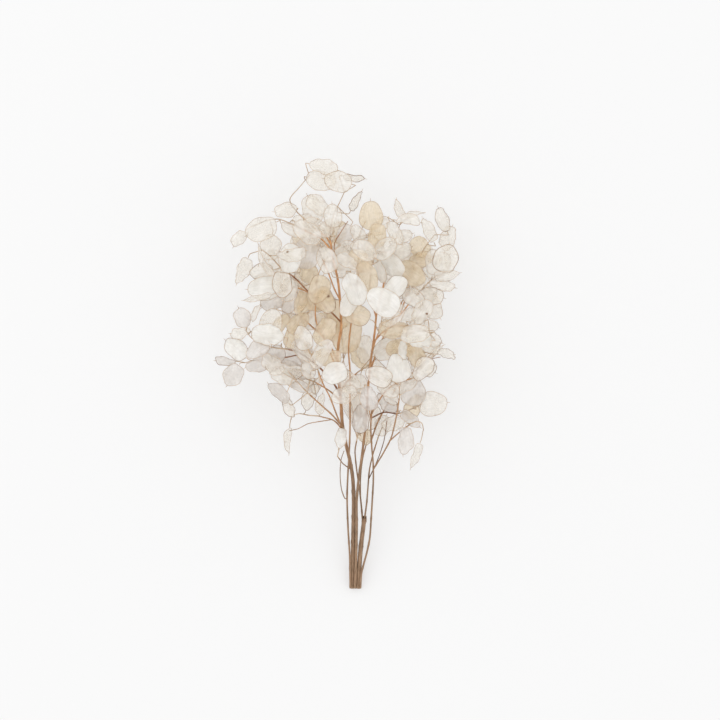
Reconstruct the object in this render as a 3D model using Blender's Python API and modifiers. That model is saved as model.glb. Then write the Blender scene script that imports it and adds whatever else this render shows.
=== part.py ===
"""A loose bunch of dried honesty stems lying on a surface, with its silvery seed pods.

The stems run along +Y from their cut ends to the heads, +Z is up, and the lowest points lie on z = 0.
Routes and pods are read off the photograph in its own 720 by 720 pixels, as (column, row, depth).
Depth is in millimetres above the line on which the bunch rises from its cut ends to its heads.
"""

import math
import random

import bmesh
import bpy
from mathutils import Matrix, Vector
from mathutils.bvhtree import BVHTree

MM = 0.001

# Scale and middle of the photograph
PIXEL = 1.25 * MM
MIDDLE_COLUMN = 339.5
MIDDLE_ROW = 373.5

# How the bunch rises from the surface at its cut ends
CUT_ROW = 591.0
LEVEL_ROW = 300.0
CUT_HEIGHT = 8.0 * MM
LEVEL_HEIGHT = 82.0 * MM

# Pods
POD_THICKNESS = 0.7 * MM
POD_LEAST_LENGTH = 27.0 * MM
POD_SLENDERNESS = 0.74
POD_CORNERS = 4
POD_CURL = 0.08
POD_FOLD = 0.11
POD_TWIST = 0.09
BEAK = 2.5 * MM
PEDICEL_DIAMETER = 1.1 * MM
PEDICEL_WIDTH = 0.8 * MM
PEDICEL_LEAST_BENT = 7 * MM
STRAIGHT_ENOUGH = 0.5
SHARPEST_TURN = -0.5
REACH_BEFORE_TURNING = 0.25
JOINT_GAP = 0.3 * MM
STRAIGHT_LEAD = 2.5 * MM
RACHIS_DIAMETER = 1.7 * MM
RACHIS_TIP_DIAMETER = 0.9 * MM

# Inside this oval of the head, each spray carries further pods behind those that can be told apart
FURTHER_PODS = 2
HEAD_COLUMN = 345.0
HEAD_ROW = 312.0
HEAD_HALF_WIDTH = 88.0
HEAD_HALF_HEIGHT = 98.0

# Clear air round each tube and pod while the bunch is laid out
TUBE_CLEAR = 0.16 * MM
SPRAY_CLEAR = 0.5 * MM
POD_CLEAR = 1.3 * MM
SEED = 41

# The snapped end of the thick stem
HOLLOW_DIAMETER = 3.4 * MM
HOLLOW_DEPTH = 6.0 * MM

# Colours
WOOD_COLOUR = (0.36, 0.23, 0.13)
PAPER_COLOUR = (0.74, 0.68, 0.58)

# Stems: cut diameter and last diameter in millimetres, then the route
TRUNKS = {
    "stem_main": (5.6, 2.4, [
        (352.0, 591, -5.1), (352.6, 560, -5), (353.2, 530, -4), (353.6, 505, -3), (352.8, 480, -1),
        (350, 462, 0), (346, 445, 0), (342.4, 425, 0), (341, 405, 0), (339.6, 386, 0), (337.4, 361, 2),
        (338.4, 345, 4), (341, 330, 5), (341, 319, 7), (340, 300, 12), (338, 281, 18), (333.5, 260, 24),
        (330.4, 241, 27)]),
    "stem_left": (2.5, 1.8, [
        (350.2, 591, -1.0), (350, 575, -0.9), (349.6, 556, -0.6), (348, 530, 0), (347, 500, 3), (347.6, 480, 6),
        (349, 455, 9), (350, 430, 11), (350, 400, 13), (350, 370, 14), (348.6, 350, 15), (351, 325, 17),
        (356, 295, 18), (358, 279, 18), (358.2, 266, 18)]),
    "stem_middle": (3.7, 2.2, [
        (355.05, 591, -1.8), (355.9, 562, -1.7), (356.6, 530, -0.4), (356.6, 502, 2), (358.6, 480, 4), (361.4, 460, 4),
        (363.6, 443, 3), (365.4, 428, 2), (366.8, 408, 0), (368.4, 385, -2), (370.4, 364, -4), (373, 345, -6),
        (375, 330, -8), (376.6, 314, -9), (380.4, 298, -9), (384, 283, -9), (385, 276, -8)]),
    "stem_broken": (6.0, 5.4, [
        (358.3, 591, -4.9), (359.2, 572, -5), (360.6, 552, -5), (362.4, 536, -5), (364.8, 517, -5)]),
    "stem_right": (2.6, 1.9, [
        (360.4, 591, -0.4), (361.4, 576, 0), (363.8, 566, 0.6), (367, 554, 1), (369.8, 540, 1), (371.2, 520, 1),
        (372.4, 500, 1), (373.4, 480, 2), (373.2, 464, 3), (371.6, 445, 5), (370.8, 425, 8), (372, 409, 11)]),
}

# Branches: the stem or branch that each grows from, the row where it leaves it, its diameters, its route
BRANCHES = {
    "main_top_left": ("stem_main", 246, 1.9, 1.6, [(326, 237, 22), (320, 233, 16)]),
    "main_left_upper": ("stem_main", 252, 2.0, 1.6, [(322, 240, 32), (311, 234, 36), (301, 229, 38)]),
    "main_far_left": ("stem_main", 322, 2.2, 1.7, [
        (331, 312, 16), (319, 301, 30), (307, 290.5, 38), (298, 281, 40), (291, 275, 40)]),
    "main_left_middle": ("main_far_left", 296, 1.8, 1.5, [(305, 291, 30), (298, 288, 20)]),
    "main_left_low": ("stem_main", 396, 2.4, 1.7, [
        (335.4, 386, 12), (327, 375, 24), (318, 366, 32), (308, 358, 37), (297, 351.4, 38), (288.6, 349.6, 38)]),
    "main_left_end": ("main_left_low", 354, 1.7, 1.5, [(293, 356, 22), (283, 358, 8)]),
    "main_middle_left": ("stem_main", 364, 2.1, 1.6, [
        (330, 345, -8), (320, 334, -16), (309, 324, -20), (303, 318, -20)]),
    "main_middle_up": ("main_middle_left", 334, 1.8, 1.6, [(315.6, 318, 2), (316, 300, 22), (317, 285, 32)]),
    "main_low_inner": ("stem_main", 402, 1.9, 1.6, [(332, 393, -16), (323, 387, -30), (316, 383, -36)]),
    "main_low_left": ("stem_main", 428, 2.0, 1.6, [(333, 416, 4), (321, 405, 8), (310, 395, 10)]),
    "main_centre": ("stem_main", 434, 2.1, 1.6, [
        (336, 413, 18), (329.6, 396, 34), (323, 383, 44), (319, 372, 48)]),
    "main_lowest_left": ("stem_main", 432, 1.9, 1.5, [(334, 421, -12), (321, 417, -20)]),
    "main_inner_right": ("stem_main", 393, 1.9, 1.6, [(345, 384, -18), (352, 377, -34), (357, 373, -38)]),
    "main_front": ("stem_main", 374, 1.9, 1.6, [(340, 369, -14), (342, 364, -24)]),
    "main_stub": ("stem_main", 470, 1.6, 1.4, [(343, 464, 9), (338.6, 458, 13)]),
    "main_under": ("stem_main", 375, 2.1, 1.7, [(333, 360, -22), (326, 342, -42), (318, 322, -50), (310, 306, -54)]),
    "main_under_top": ("stem_main", 300, 2.0, 1.7, [(334, 288, -22), (328, 272, -44), (322, 258, -52)]),
    "left_side": ("stem_left", 300, 1.7, 1.5, [(352, 290, 34), (350, 282, 42)]),
    "middle_up": ("stem_middle", 318, 1.9, 1.6, [(373, 306, 10), (370, 294, 26)]),
    "middle_right": ("stem_middle", 342, 2.2, 1.7, [
        (383, 332, 2), (391, 326, 6), (398, 318, 8), (405, 309, 9), (411, 301, 9)]),
    "middle_right_high": ("middle_right", 316, 1.8, 1.6, [(404, 303, -16), (407, 292, -26)]),
    "middle_right_low": ("middle_right", 329, 1.8, 1.5, [(396, 326, 26), (405, 326, 36)]),
    "middle_front": ("stem_middle", 352, 1.9, 1.6, [(375, 342, 20), (378, 334, 42)]),
    "middle_under": ("stem_middle", 372, 2.1, 1.7, [(377, 352, -28), (385, 334, -46), (394, 316, -54), (402, 302, -56)]),
    "broken_left": ("stem_broken", 530, 2.4, 1.6, [
        (361.6, 510, -12), (359.4, 490, -14), (356.6, 470, -10), (355, 452, -2), (356.6, 441, 10)]),
    "broken_right": ("stem_broken", 527, 2.3, 1.6, [
        (366.6, 505, -6), (368, 488, -10), (369.6, 470, -14), (373, 455, -18), (377, 442, -20)]),
    "broken_tip": ("broken_left", 500, 1.7, 1.5, [(360.6, 478, -24), (363, 458, -26), (366.6, 444, -28)]),
    "right_outer": ("stem_right", 414, 1.9, 1.6, [
        (378, 402, 22), (385, 392, 24), (392.6, 385.4, 24), (401, 381.4, 24), (411, 378.6, 24)]),
    "right_low": ("stem_right", 418, 1.8, 1.5, [(384, 412.6, -8), (396, 414, -20)]),
    "right_bow": ("stem_right", 470, 2.0, 1.6, [
        (384, 452, 14), (391, 438, 20), (394.4, 425, 26), (397, 412, 32), (399, 399, 34)]),
    "right_drop": ("right_bow", 441, 1.7, 1.5, [(399, 432.4, 30), (409, 424.6, 36)]),
    "right_inner": ("stem_right", 420, 1.7, 1.5, [(368, 404, 26), (364.6, 394, 38)]),
    "left_hook": ("stem_left", 500, 1.3, 0.9, [
        (344.6, 499, 4), (341.4, 490, 5), (340, 475, 8), (341, 460, 10), (344, 451, 12)]),
    "main_fork": ("stem_main", 262, 1.4, 0.8, [(335, 243, 32), (341, 233, 36), (348, 222, 38)]),
    "main_low_twig": ("main_lowest_left", 420, 1.2, 0.8, [(308, 424, -18), (298, 429, -16), (289, 431, -16)]),
    "left_upper_twig": ("stem_left", 276, 1.2, 0.8, [(363, 268, 22), (368, 262, 26)]),
    "broken_twig": ("broken_right", 480, 1.3, 0.9, [(377, 462, -4), (384, 441, 2), (387, 421, 4)]),
    "right_outer_twig": ("right_outer", 382, 1.3, 0.8, [(417, 369, 34), (428, 360, 40), (440, 357, 42)]),
    "right_under": ("stem_right", 440, 2.0, 1.6, [(378, 422, -22), (388, 404, -42), (397, 386, -52), (406, 368, -56)]),
}

# Sprays: the stem or branch that each ends, the raceme's route, and its pods.
# A pod is its middle's column and row, its length and shown width in pixels, where its tip points in degrees
# from photo right towards photo top, and how far in millimetres it lies in front of its stalk's root.
SPRAYS = {
    "spray_top_left": ("main_top_left", [(308, 222, 10), (297, 212, 10), (290, 200, 9), (300, 187, 8), (310, 175, 6)], [
        (322, 166, 29, 17, 335, -4), (321, 181, 30, 20, 348, 8), (286, 210, 23, 16, 190, 0), (304, 222, 24, 16, 20, -14)]),
    "spray_top": ("stem_main", [(331, 228, 24), (334, 215, 18), (340, 202, 10), (345, 191, 4)], [
        (338, 185, 28, 19, 150, 4), (352, 180, 21, 6, 355, 0), (333, 217, 24, 18, 94, 14), (344, 236, 22, 17, 60, 8),
        (356, 201, 22, 7, 60, -6), (318, 205, 26, 18, 140, -10)]),
    "spray_left_upper": ("main_left_upper", [(290, 224, 38), (279, 220, 34), (266, 221, 26)], [
        (262, 230, 33, 24, 205, 6), (291, 230, 24, 13, 340, 8), (271, 248, 26, 22, 262, -8), (240, 239, 19, 13, 230, -4)]),
    "spray_far_left": ("main_far_left", [(281, 268, 40), (272, 258, 39), (262, 250, 36)], [
        (290, 260, 30, 23, 258, 12), (266, 262, 35, 6, 118, 12), (243, 271, 28, 13, 245, -4), (262, 272, 24, 16, 190, -9),
        (307, 254, 33, 28, 70, -12)]),
    "spray_left_middle": ("main_left_middle", [(288, 286, 12), (277, 285, 10), (266, 284, 8)], [
        (265, 288, 34, 24, 186, 16), (273, 300, 27, 20, 214, -8), (290, 289, 25, 17, 250, 14), (291, 303, 24, 15, 240, -2)]),
    "spray_left_low": ("main_left_low", [(276, 348, 37), (264, 345, 35), (252, 338, 30), (246, 330, 26)], [
        (268, 335, 33, 21, 172, 8), (243, 318, 20, 18, 110, 6), (256, 313, 16, 8, 50, -6), (241, 333, 20, 12, 185, -10),
        (258, 349, 26, 17, 215, 10), (275, 358, 28, 18, 250, -8)]),
    "spray_left_end": ("main_left_end", [(270, 359, -2), (256, 360, -8), (244, 363, -12)], [
        (236, 349, 27, 20, 140, 8), (233, 375, 24, 20, 240, 0), (225, 361, 20, 9, 178, -9), (259, 363, 29, 16, 205, 12),
        (292, 359, 27, 15, 165, 12)]),
    "spray_middle_left": ("main_middle_left", [(292, 314, -22), (282, 311, -24), (272, 308, -26)], [
        (298, 322, 26, 16, 235, 10), (293, 336, 27, 18, 245, -6), (282, 323, 26, 13, 225, 6), (289, 312, 22, 8, 130, 12),
        (306, 308, 28, 20, 60, -4)]),
    "spray_middle_up": ("main_middle_up", [(319, 274, 36), (325, 261, 38), (333, 252, 38), (341, 246, 36)], [
        (319, 290, 29, 21, 250, 14), (300, 302, 24, 12, 255, -6), (347, 262, 24, 14, 330, 10), (345, 250, 24, 15, 40, -10),
        (326, 300, 28, 20, 300, -8)]),
    "spray_low_inner": ("main_low_inner", [(305, 379, -38), (295, 376, -38), (286, 376, -38)], [
        (300, 375, 23, 10, 165, 12), (302, 386, 24, 11, 150, 8), (316, 388, 20, 12, 250, -6)]),
    "spray_low_left": ("main_low_left", [(303, 388, 12), (296, 380, 12), (288, 371, 12)], [
        (279, 393, 27, 13, 137, 6), (303, 351, 27, 18, 120, -6), (290, 407, 20, 10, 285, 2)]),
    "spray_centre": ("main_centre", [(314.6, 361, 50), (309, 350, 50), (304, 342, 48)], [
        (322, 354, 33, 17, 60, 8), (335, 373, 26, 22, 30, 4), (304, 338, 26, 18, 110, 8), (325, 332, 30, 21, 62, -10)]),
    "spray_lowest_left": ("main_lowest_left", [(309, 415.6, -22), (298, 414, -24), (290, 417, -24)], [
        (288, 441, 26, 7, 268, 0), (321, 404, 22, 9, 80, 8)]),
    "spray_inner_right": ("main_inner_right", [(363, 369, -40), (371, 363, -40), (378, 357, -40)], [
        (378, 370, 22, 16, 310, 10), (358, 385, 22, 18, 255, 10), (387, 351, 28, 22, 40, 12), (366, 350, 30, 20, 100, -8)]),
    "spray_front": ("main_front", [(343, 361, -30), (344, 358, -34)], [
        (347, 335, 38, 30, 78, 4), (328, 326, 32, 23, 135, 0), (358, 354, 28, 18, 320, 2), (338, 314, 32, 23, 100, -8)]),
    "spray_stub": ("main_stub", [(338.4, 452, 14), (340, 446, 15)], [
        (341, 438, 21, 12, 80, 2)]),
    "spray_under": ("main_under", [(304, 294, -56), (296, 282, -57), (286, 272, -58)], [
        (277, 262, 32, 24, 150, "rests"), (306, 276, 30, 22, 70, 12), (286, 296, 30, 22, 200, 6), (318, 300, 30, 22, 30, 8),
        (268, 280, 28, 20, 190, 14)]),
    "spray_under_top": ("main_under_top", [(318, 246, -56), (318, 234, -58), (320, 222, -58)], [
        (334, 232, 30, 22, 40, 8), (306, 240, 30, 22, 160, 6), (312, 208, 30, 22, 110, 4), (334, 252, 28, 20, 10, 12)]),
    "spray_left_stem": ("stem_left", [(358.4, 255, 18), (358, 244, 18), (361, 231, 18), (366, 221, 16)], [
        (358, 236, 20, 14, 120, 12), (371, 216, 29, 24, 92, 4), (380, 226, 24, 14, 45, -8), (345, 269, 26, 16, 185, -8),
        (368, 251, 24, 13, 125, 8)]),
    "spray_left_side": ("left_side", [(350, 276, 44), (351, 271, 45)], [
        (354, 290, 35, 22, 292, 8), (350, 304, 28, 18, 240, 2)]),
    "spray_middle": ("stem_middle", [(387, 266, -6), (391, 252, -4), (396, 238, -2), (400, 224, 0)], [
        (391, 267, 32, 19, 318, 10), (399, 252, 27, 20, 20, 8), (380, 270, 26, 12, 110, 12), (392, 231, 26, 11, 118, 8),
        (407, 222, 24, 13, 350, 8), (399, 209, 19, 9, 102, 0), (416, 214, 16, 6, 20, -6), (402, 237, 22, 14, 20, -10)]),
    "spray_middle_high": ("middle_up", [(370, 282, 34), (371, 270, 36), (374, 258, 36), (376, 248, 34)], [
        (367, 277, 31, 20, 110, 10), (377, 237, 26, 19, 85, 6), (384, 250, 27, 17, 50, -8), (362, 262, 27, 17, 140, -6)]),
    "spray_right_upper": ("middle_right", [(419, 293, 8), (427, 284, 8), (437, 275, 6)], [
        (431, 296, 25, 17, 350, 10), (442, 285, 26, 11, 350, -6), (446, 276, 26, 11, 8, 6), (446, 259, 29, 25, 75, 8),
        (434, 262, 26, 17, 95, -8), (412, 298, 25, 17, 320, 12)]),
    "spray_right_top": ("middle_right_high", [(410, 280, -30), (415, 266, -32), (421, 254, -32), (428, 243, -32), (436, 233, -32)], [
        (412, 275, 31, 24, 145, 14), (421, 260, 25, 16, 20, 10), (420, 245, 26, 22, 130, 10), (428, 231, 26, 11, 122, 8),
        (443, 219, 25, 13, 110, 2), (448, 237, 26, 15, 70, 6), (405, 262, 28, 20, 150, -8)]),
    "spray_right_middle": ("middle_right_low", [(414, 327, 40), (423, 330, 40), (430, 334, 38)], [
        (422, 313, 27, 17, 60, 6), (413, 324, 24, 12, 10, -6), (418, 340, 27, 17, 178, 10), (432, 340, 22, 15, 330, 6),
        (403, 350, 19, 10, 262, 2)]),
    "spray_front_right": ("middle_front", [(380, 328, 54), (382, 323, 60)], [
        (385, 305, 36, 25, 160, 8), (395, 289, 29, 20, 50, -12), (357, 316, 28, 20, 165, -16)]),
    "spray_under_right": ("middle_under", [(409, 292, -58), (417, 282, -58), (426, 273, -58)], [
        (438, 264, 32, 24, 40, "rests"), (398, 284, 30, 22, 120, 10), (424, 296, 30, 22, 330, 6), (412, 264, 30, 22, 100, 6)]),
    "spray_broken_left": ("broken_left", [(358.6, 433, 16), (361, 427, 18)], [
        (361, 418, 29, 18, 84, 4), (348, 410, 27, 11, 108, -6)]),
    "spray_broken_right": ("broken_right", [(379, 436, -22), (381, 431, -22)], [
        (383, 425, 22, 16, 70, 2), (394, 424, 24, 16, 20, -6)]),
    "spray_broken_tip": ("broken_tip", [(367, 438, -28), (368, 433, -28)], [
        (364, 437, 20, 12, 150, 6), (372, 418, 26, 18, 75, -4)]),
    "spray_right_outer": ("right_outer", [(417, 371, 26), (424, 361, 26), (432, 353, 26)], [
        (424, 371, 27, 20, 40, 4), (414, 355, 26, 18, 120, 8), (446, 354, 16, 11, 0, 4), (434, 352, 24, 10, 20, -8),
        (400, 352, 28, 20, 165, -12)]),
    "spray_right_low": ("right_low", [(405, 412, -24), (415, 408, -26), (424, 404, -28)], [
        (433, 404, 30, 25, 5, 8), (413, 391, 31, 26, 100, 12), (414, 406, 27, 16, 60, -6), (411, 419, 24, 12, 320, 8),
        (388, 405, 26, 15, 150, 10)]),
    "spray_right_bow": ("right_bow", [(399, 391, 35), (400, 384, 36)], [
        (398, 368, 30, 25, 100, 6), (388, 387, 25, 16, 150, 2)]),
    "spray_right_drop": ("right_drop", [(417, 421, 38), (421.6, 423, 38), (423.4, 430, 36)], [
        (405, 440, 28, 16, 265, 4), (416, 455, 26, 9, 250, 2)]),
    "spray_right_inner": ("right_inner", [(364, 391, 46), (363, 388, 54)], [
        (368, 398, 25, 18, 290, 4)]),
    "spray_under_low": ("right_under", [(409, 358, -58), (411, 348, -60), (412, 338, -60)], [
        (412, 322, 30, 22, 85, 4), (426, 348, 30, 22, 20, 8), (395, 346, 30, 22, 160, 6), (424, 366, 28, 20, 330, 10)]),
}


def lift(row):
    """Height of the bunch's own line above the surface at a row of the photograph."""
    share = min(1.0, (CUT_ROW - row) / (CUT_ROW - LEVEL_ROW))
    return CUT_HEIGHT + (LEVEL_HEIGHT - CUT_HEIGHT) * math.sin(share * math.pi / 2)


def place(point):
    """The point in metres for a column, a row and a depth in millimetres."""
    column, row, depth = point
    return Vector((
        (column - MIDDLE_COLUMN) * PIXEL,
        (MIDDLE_ROW - row) * PIXEL,
        lift(row) + depth * MM,
    ))


def tube(points, first_diameter, last_diameter):
    """A tapering tube: its points, and its radius at each of them."""
    lengths = [0.0]
    for a, b in zip(points, points[1:]):
        lengths.append(lengths[-1] + (b - a).length)
    radii = [
        (first_diameter + (last_diameter - first_diameter) * reached / lengths[-1]) / 2
        for reached in lengths
    ]
    return {"points": points, "radii": radii}


def at_row(route, row):
    """The point where a tube's middle line crosses a row of the photograph."""
    y = (MIDDLE_ROW - row) * PIXEL
    for a, b in zip(route["points"], route["points"][1:]):
        if min(a.y, b.y) <= y <= max(a.y, b.y):
            return a.lerp(b, (y - a.y) / (b.y - a.y))
    raise ValueError(f"no point at row {row}")


def ring_frame(points, index):
    """Two directions across a tube at one of its points."""
    before = points[max(index - 1, 0)]
    after = points[min(index + 1, len(points) - 1)]
    along = (after - before).normalized()
    across = along.orthogonal().normalized()
    return across, along.cross(across)


def tube_guard(route, clear):
    """A six-sided hull of each stretch of a tube with clear air round it, for finding what it would meet."""
    corners = []
    faces = []
    for index in range(len(route["points"]) - 1):
        stretch = route["points"][index:index + 2]
        across, up = ring_frame(stretch, 0)
        first = len(corners)
        for end in range(2):
            reach = (route["radii"][index + end] + clear) / math.cos(math.pi / 6)
            for side in range(6):
                angle = side * math.pi / 3
                corners.append(stretch[end] + across * math.cos(angle) * reach + up * math.sin(angle) * reach)
        for side in range(6):
            after = (side + 1) % 6
            faces.append((first + side, first + after, first + 6 + after, first + 6 + side))
        faces.append(tuple(range(first, first + 6)))
        faces.append(tuple(range(first + 6, first + 12)))
    return corners, faces


def pod_point(pod, angle, share=1.0):
    """A point of a pod's papery wall: an angle round it from its beak, and a share of the way out to its rim."""
    uneven = pod["uneven"] * (math.sin(2 * angle + pod["phase"]) + 0.6 * math.sin(3 * angle + 2 * pod["phase"]))
    across = math.copysign(abs(math.sin(angle)) ** 0.85, math.sin(angle)) * share * (1 + uneven)
    along = math.cos(angle) * share
    curl = pod["curl"] * (along * along - 0.4)
    fold = pod["fold"] * (across * across - 0.3)
    return Vector((
        across * pod["width"] / 2 * (1 + pod["skew"] * along),
        along * pod["length"] / 2,
        pod["length"] * (curl + fold + pod["twist"] * across * along),
    ))


def pod_rim(pod):
    """A pod's outline in its own plane: its beak at +Y, its stalk end at -Y."""
    count = 2 * POD_CORNERS
    rim = [pod_point(pod, 2 * math.pi * corner / count) for corner in range(count)]
    rim[0].y += BEAK
    return rim


def pod_guard(pod, clear):
    """A flat box round a pod's outline, for finding what it would meet."""
    rim = pod_rim(pod)
    middle = pod_point(pod, 0, 0)
    rise = Vector((0, 0, POD_THICKNESS / 2 + clear))
    corners = [pod["matrix"] @ (p * 1.04 + rise) for p in rim] + [pod["matrix"] @ (p * 1.04 - rise) for p in rim]
    count = len(rim)
    corners.append(pod["matrix"] @ (middle + rise))
    corners.append(pod["matrix"] @ (middle - rise))
    faces = []
    for corner in range(count):
        after = (corner + 1) % count
        faces.append((corner, after, 2 * count))
        faces.append((count + after, count + corner, 2 * count + 1))
        faces.append((corner, count + corner, count + after, after))
    return corners, faces


class Room:
    """What has been laid out so far, each with a name, so that nothing new crosses it."""

    def __init__(self):
        self.held = []

    def solid(self, guard):
        corners, faces = guard
        low = Vector([min(c[axis] for c in corners) for axis in range(3)])
        high = Vector([max(c[axis] for c in corners) for axis in range(3)])
        return low, high, BVHTree.FromPolygons(corners, faces)

    def meets(self, guard, left_out=()):
        low, high, tree = self.solid(guard)
        for name, other_low, other_high, other in self.held:
            apart = any(low[axis] > other_high[axis] or other_low[axis] > high[axis] for axis in range(3))
            if not apart and name not in left_out and tree.overlap(other):
                return name
        return None

    def add(self, name, guard):
        self.held.append((name, *self.solid(guard)))


def lay_branch(room, name, spec, tubes, owners):
    """A branch, shifted in depth until it passes every other stem clear."""
    parent, row, first_diameter, last_diameter, route = spec
    start = at_row(tubes[parent], row)
    owner = owners[parent]
    for trial in range(30):
        shift = 1.5 * ((trial + 1) // 2) * (-1) ** trial
        points = [start]
        for index, (column, place_row, depth) in enumerate(route):
            share = (index + 1) / len(route)
            points.append(place((column, place_row, depth + shift * share)))
        branch = tube(points, first_diameter * MM, last_diameter * MM)
        guard = tube_guard(branch, SPRAY_CLEAR)
        if room.meets(guard, [owner]) is None:
            break
    else:
        print("branch meets something", name)
    room.add(owner, guard)
    tubes[name] = branch
    owners[name] = owner


def lay_rachis(room, name, parent, route, tubes, owner):
    """A raceme's own stalk, from just past the end of what carries it."""
    end = tubes[parent]["points"][-1]
    along = (end - tubes[parent]["points"][-2]).normalized()
    start = end + along * JOINT_GAP
    lead = start + along * STRAIGHT_LEAD
    for trial in range(30):
        shift = 1.5 * ((trial + 1) // 2) * (-1) ** trial
        points = [start, lead]
        for index, (column, row, depth) in enumerate(route):
            share = (index + 1) / len(route)
            points.append(place((column, row, depth + shift * share)))
        stalk = tube(points, RACHIS_DIAMETER, RACHIS_TIP_DIAMETER)
        beyond = {"points": points[1:], "radii": stalk["radii"][1:]}
        if room.meets(tube_guard(beyond, SPRAY_CLEAR)) is None:
            break
    else:
        print("rachis meets", name, room.meets(tube_guard(beyond, SPRAY_CLEAR)))
    room.add(name + "_stalk", tube_guard(stalk, 0.1 * MM))
    return stalk


def stalk_points(stalk):
    """Close points along a raceme's stalk, past its lead and short of its tip."""
    found = []
    for a, b in zip(stalk["points"][1:], stalk["points"][2:]):
        steps = max(2, round((b - a).length / (1.5 * MM)))
        found += [a.lerp(b, step / steps) for step in range(1, steps + 1)]
    return found[:-1]


def try_pod(spec, stalk, draw, reach):
    """One trial of a pod's place, turned and shifted more as its reach grows, with its own small stalk."""
    column, row, length, width, heading, lies = spec
    if reach > REACH_BEFORE_TURNING:
        heading += draw.choice((0, 180))
    rests = lies == "rests"
    shown = length * PIXEL
    pod = {
        "length": max(shown, POD_LEAST_LENGTH),
        "curl": draw.uniform(-1, 1) * POD_CURL,
        "fold": draw.uniform(-1, 1) * POD_FOLD,
        "twist": draw.uniform(-1, 1) * POD_TWIST,
        "skew": draw.uniform(-0.16, 0.08),
        "uneven": draw.uniform(0.0, 0.045),
        "phase": draw.uniform(0, 2 * math.pi),
        "seed": draw.random(),
    }
    pod["width"] = max(POD_SLENDERNESS * pod["length"] * draw.uniform(0.94, 1.04), width * PIXEL)
    roll = math.acos(min(1.0, width * PIXEL / pod["width"])) * draw.choice((-1, 1))
    pitch = math.acos(min(1.0, shown / pod["length"])) * draw.choice((-1, 1))
    if rests:
        roll = pitch = 0.0
        pod["curl"] = pod["fold"] = pod["twist"] = 0.004
    roll += math.radians(draw.uniform(-1, 1) * 25) * reach
    pitch += math.radians(draw.uniform(-1, 1) * 14) * reach
    aim = math.radians(heading + draw.uniform(-1, 1) * 22 * reach)
    column += draw.uniform(-1, 1) * 3.5 * reach
    row += draw.uniform(-1, 1) * 3.5 * reach
    turn = (
        Matrix.Rotation(aim - math.pi / 2, 4, "Z")
        @ Matrix.Rotation(pitch, 4, "X")
        @ Matrix.Rotation(roll, 4, "Y")
    )
    points = stalk_points(stalk)
    middle = place((column, row, 0))
    flat_root = middle - (turn @ Vector((0, pod["length"] / 2, 0)))
    near = min(points, key=lambda p: (p.xy - flat_root.xy).length)
    middle.z = near.z + (0 if rests else lies) * MM + draw.uniform(-1, 1) * 26 * MM * reach
    pod["matrix"] = Matrix.Translation(middle) @ turn
    lowest = min((pod["matrix"] @ p).z for p in pod_rim(pod)) - POD_THICKNESS / 2
    if rests:
        pod["matrix"] = Matrix.Translation((0, 0, -lowest)) @ pod["matrix"]
    elif lowest < 1.0 * MM:
        pod["matrix"] = Matrix.Translation((0, 0, 1.5 * MM - lowest)) @ pod["matrix"]
    tip_way = (pod["matrix"].to_3x3() @ Vector((0, 1, 0))).normalized()
    root = pod["matrix"] @ pod_point(pod, math.pi)

    def cost(point):
        way = root - point
        return way.length * (1.5 - way.normalized().dot(tip_way))

    start = min(points, key=cost)
    route = [start, root]
    if (root - start).length > PEDICEL_LEAST_BENT or (root - start).normalized().dot(tip_way) < STRAIGHT_ENOUGH:
        route.insert(1, root - tip_way * min(0.3 * (root - start).length, 5 * MM))
    pod["stalk"] = tube(route, PEDICEL_DIAMETER, PEDICEL_DIAMETER)
    return pod


def comes_cleanly(pod):
    """Whether a pod's own small stalk reaches it from behind, without a sharp turn and without crossing the pod."""
    points = pod["stalk"]["points"]
    tip_way = (pod["matrix"].to_3x3() @ Vector((0, 1, 0))).normalized()
    if (points[1] - points[0]).normalized().dot(tip_way) < SHARPEST_TURN:
        return False
    first = points[:2] if len(points) > 2 else [points[0], points[0].lerp(points[1], 0.8)]
    own = Room()
    own.add("pod", pod_guard(pod, 0.2 * MM))
    return own.meets(tube_guard(tube(first, PEDICEL_DIAMETER, PEDICEL_DIAMETER), 0.1 * MM)) is None


def lay_pod(room, name, number, spec, stalk):
    """A pod and its stalk, placed where the photograph shows it and clear of everything before it."""
    draw = random.Random(f"{SEED} {name} {number}")
    for trial in range(160):
        pod = try_pod(spec, stalk, draw, min(1.0, trial / 90))
        guard = pod_guard(pod, POD_CLEAR)
        small = tube_guard(pod["stalk"], SPRAY_CLEAR)
        if comes_cleanly(pod) and room.meets(guard) is None and room.meets(small, [name + "_stalk"]) is None:
            room.add(f"{name}_pod", guard)
            room.add(name + "_stalk", tube_guard(pod["stalk"], 0.1 * MM))
            return pod
    print("no room for", name, number)
    return None


def further_pods(name, route):
    """Pods that fill a spray inside the head, where the photograph shows only layer behind layer."""
    draw = random.Random(f"{SEED} further {name}")
    found = []
    while len(found) < FURTHER_PODS:
        column, row, depth = draw.choice(route)
        way = draw.uniform(0, 2 * math.pi)
        reach = draw.uniform(12, 24)
        column += reach * math.cos(way)
        row -= reach * math.sin(way)
        across, down = (column - HEAD_COLUMN) / HEAD_HALF_WIDTH, (row - HEAD_ROW) / HEAD_HALF_HEIGHT
        length = draw.uniform(26, 33)
        width = length * draw.uniform(0.45, 0.74)
        if math.hypot(across, down) < 1:
            turned = math.degrees(way) + draw.uniform(-25, 25)
            found.append((column, row, length, width, turned, draw.uniform(-16, 12)))
        elif draw.random() < 0.02:
            break
    return found


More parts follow.
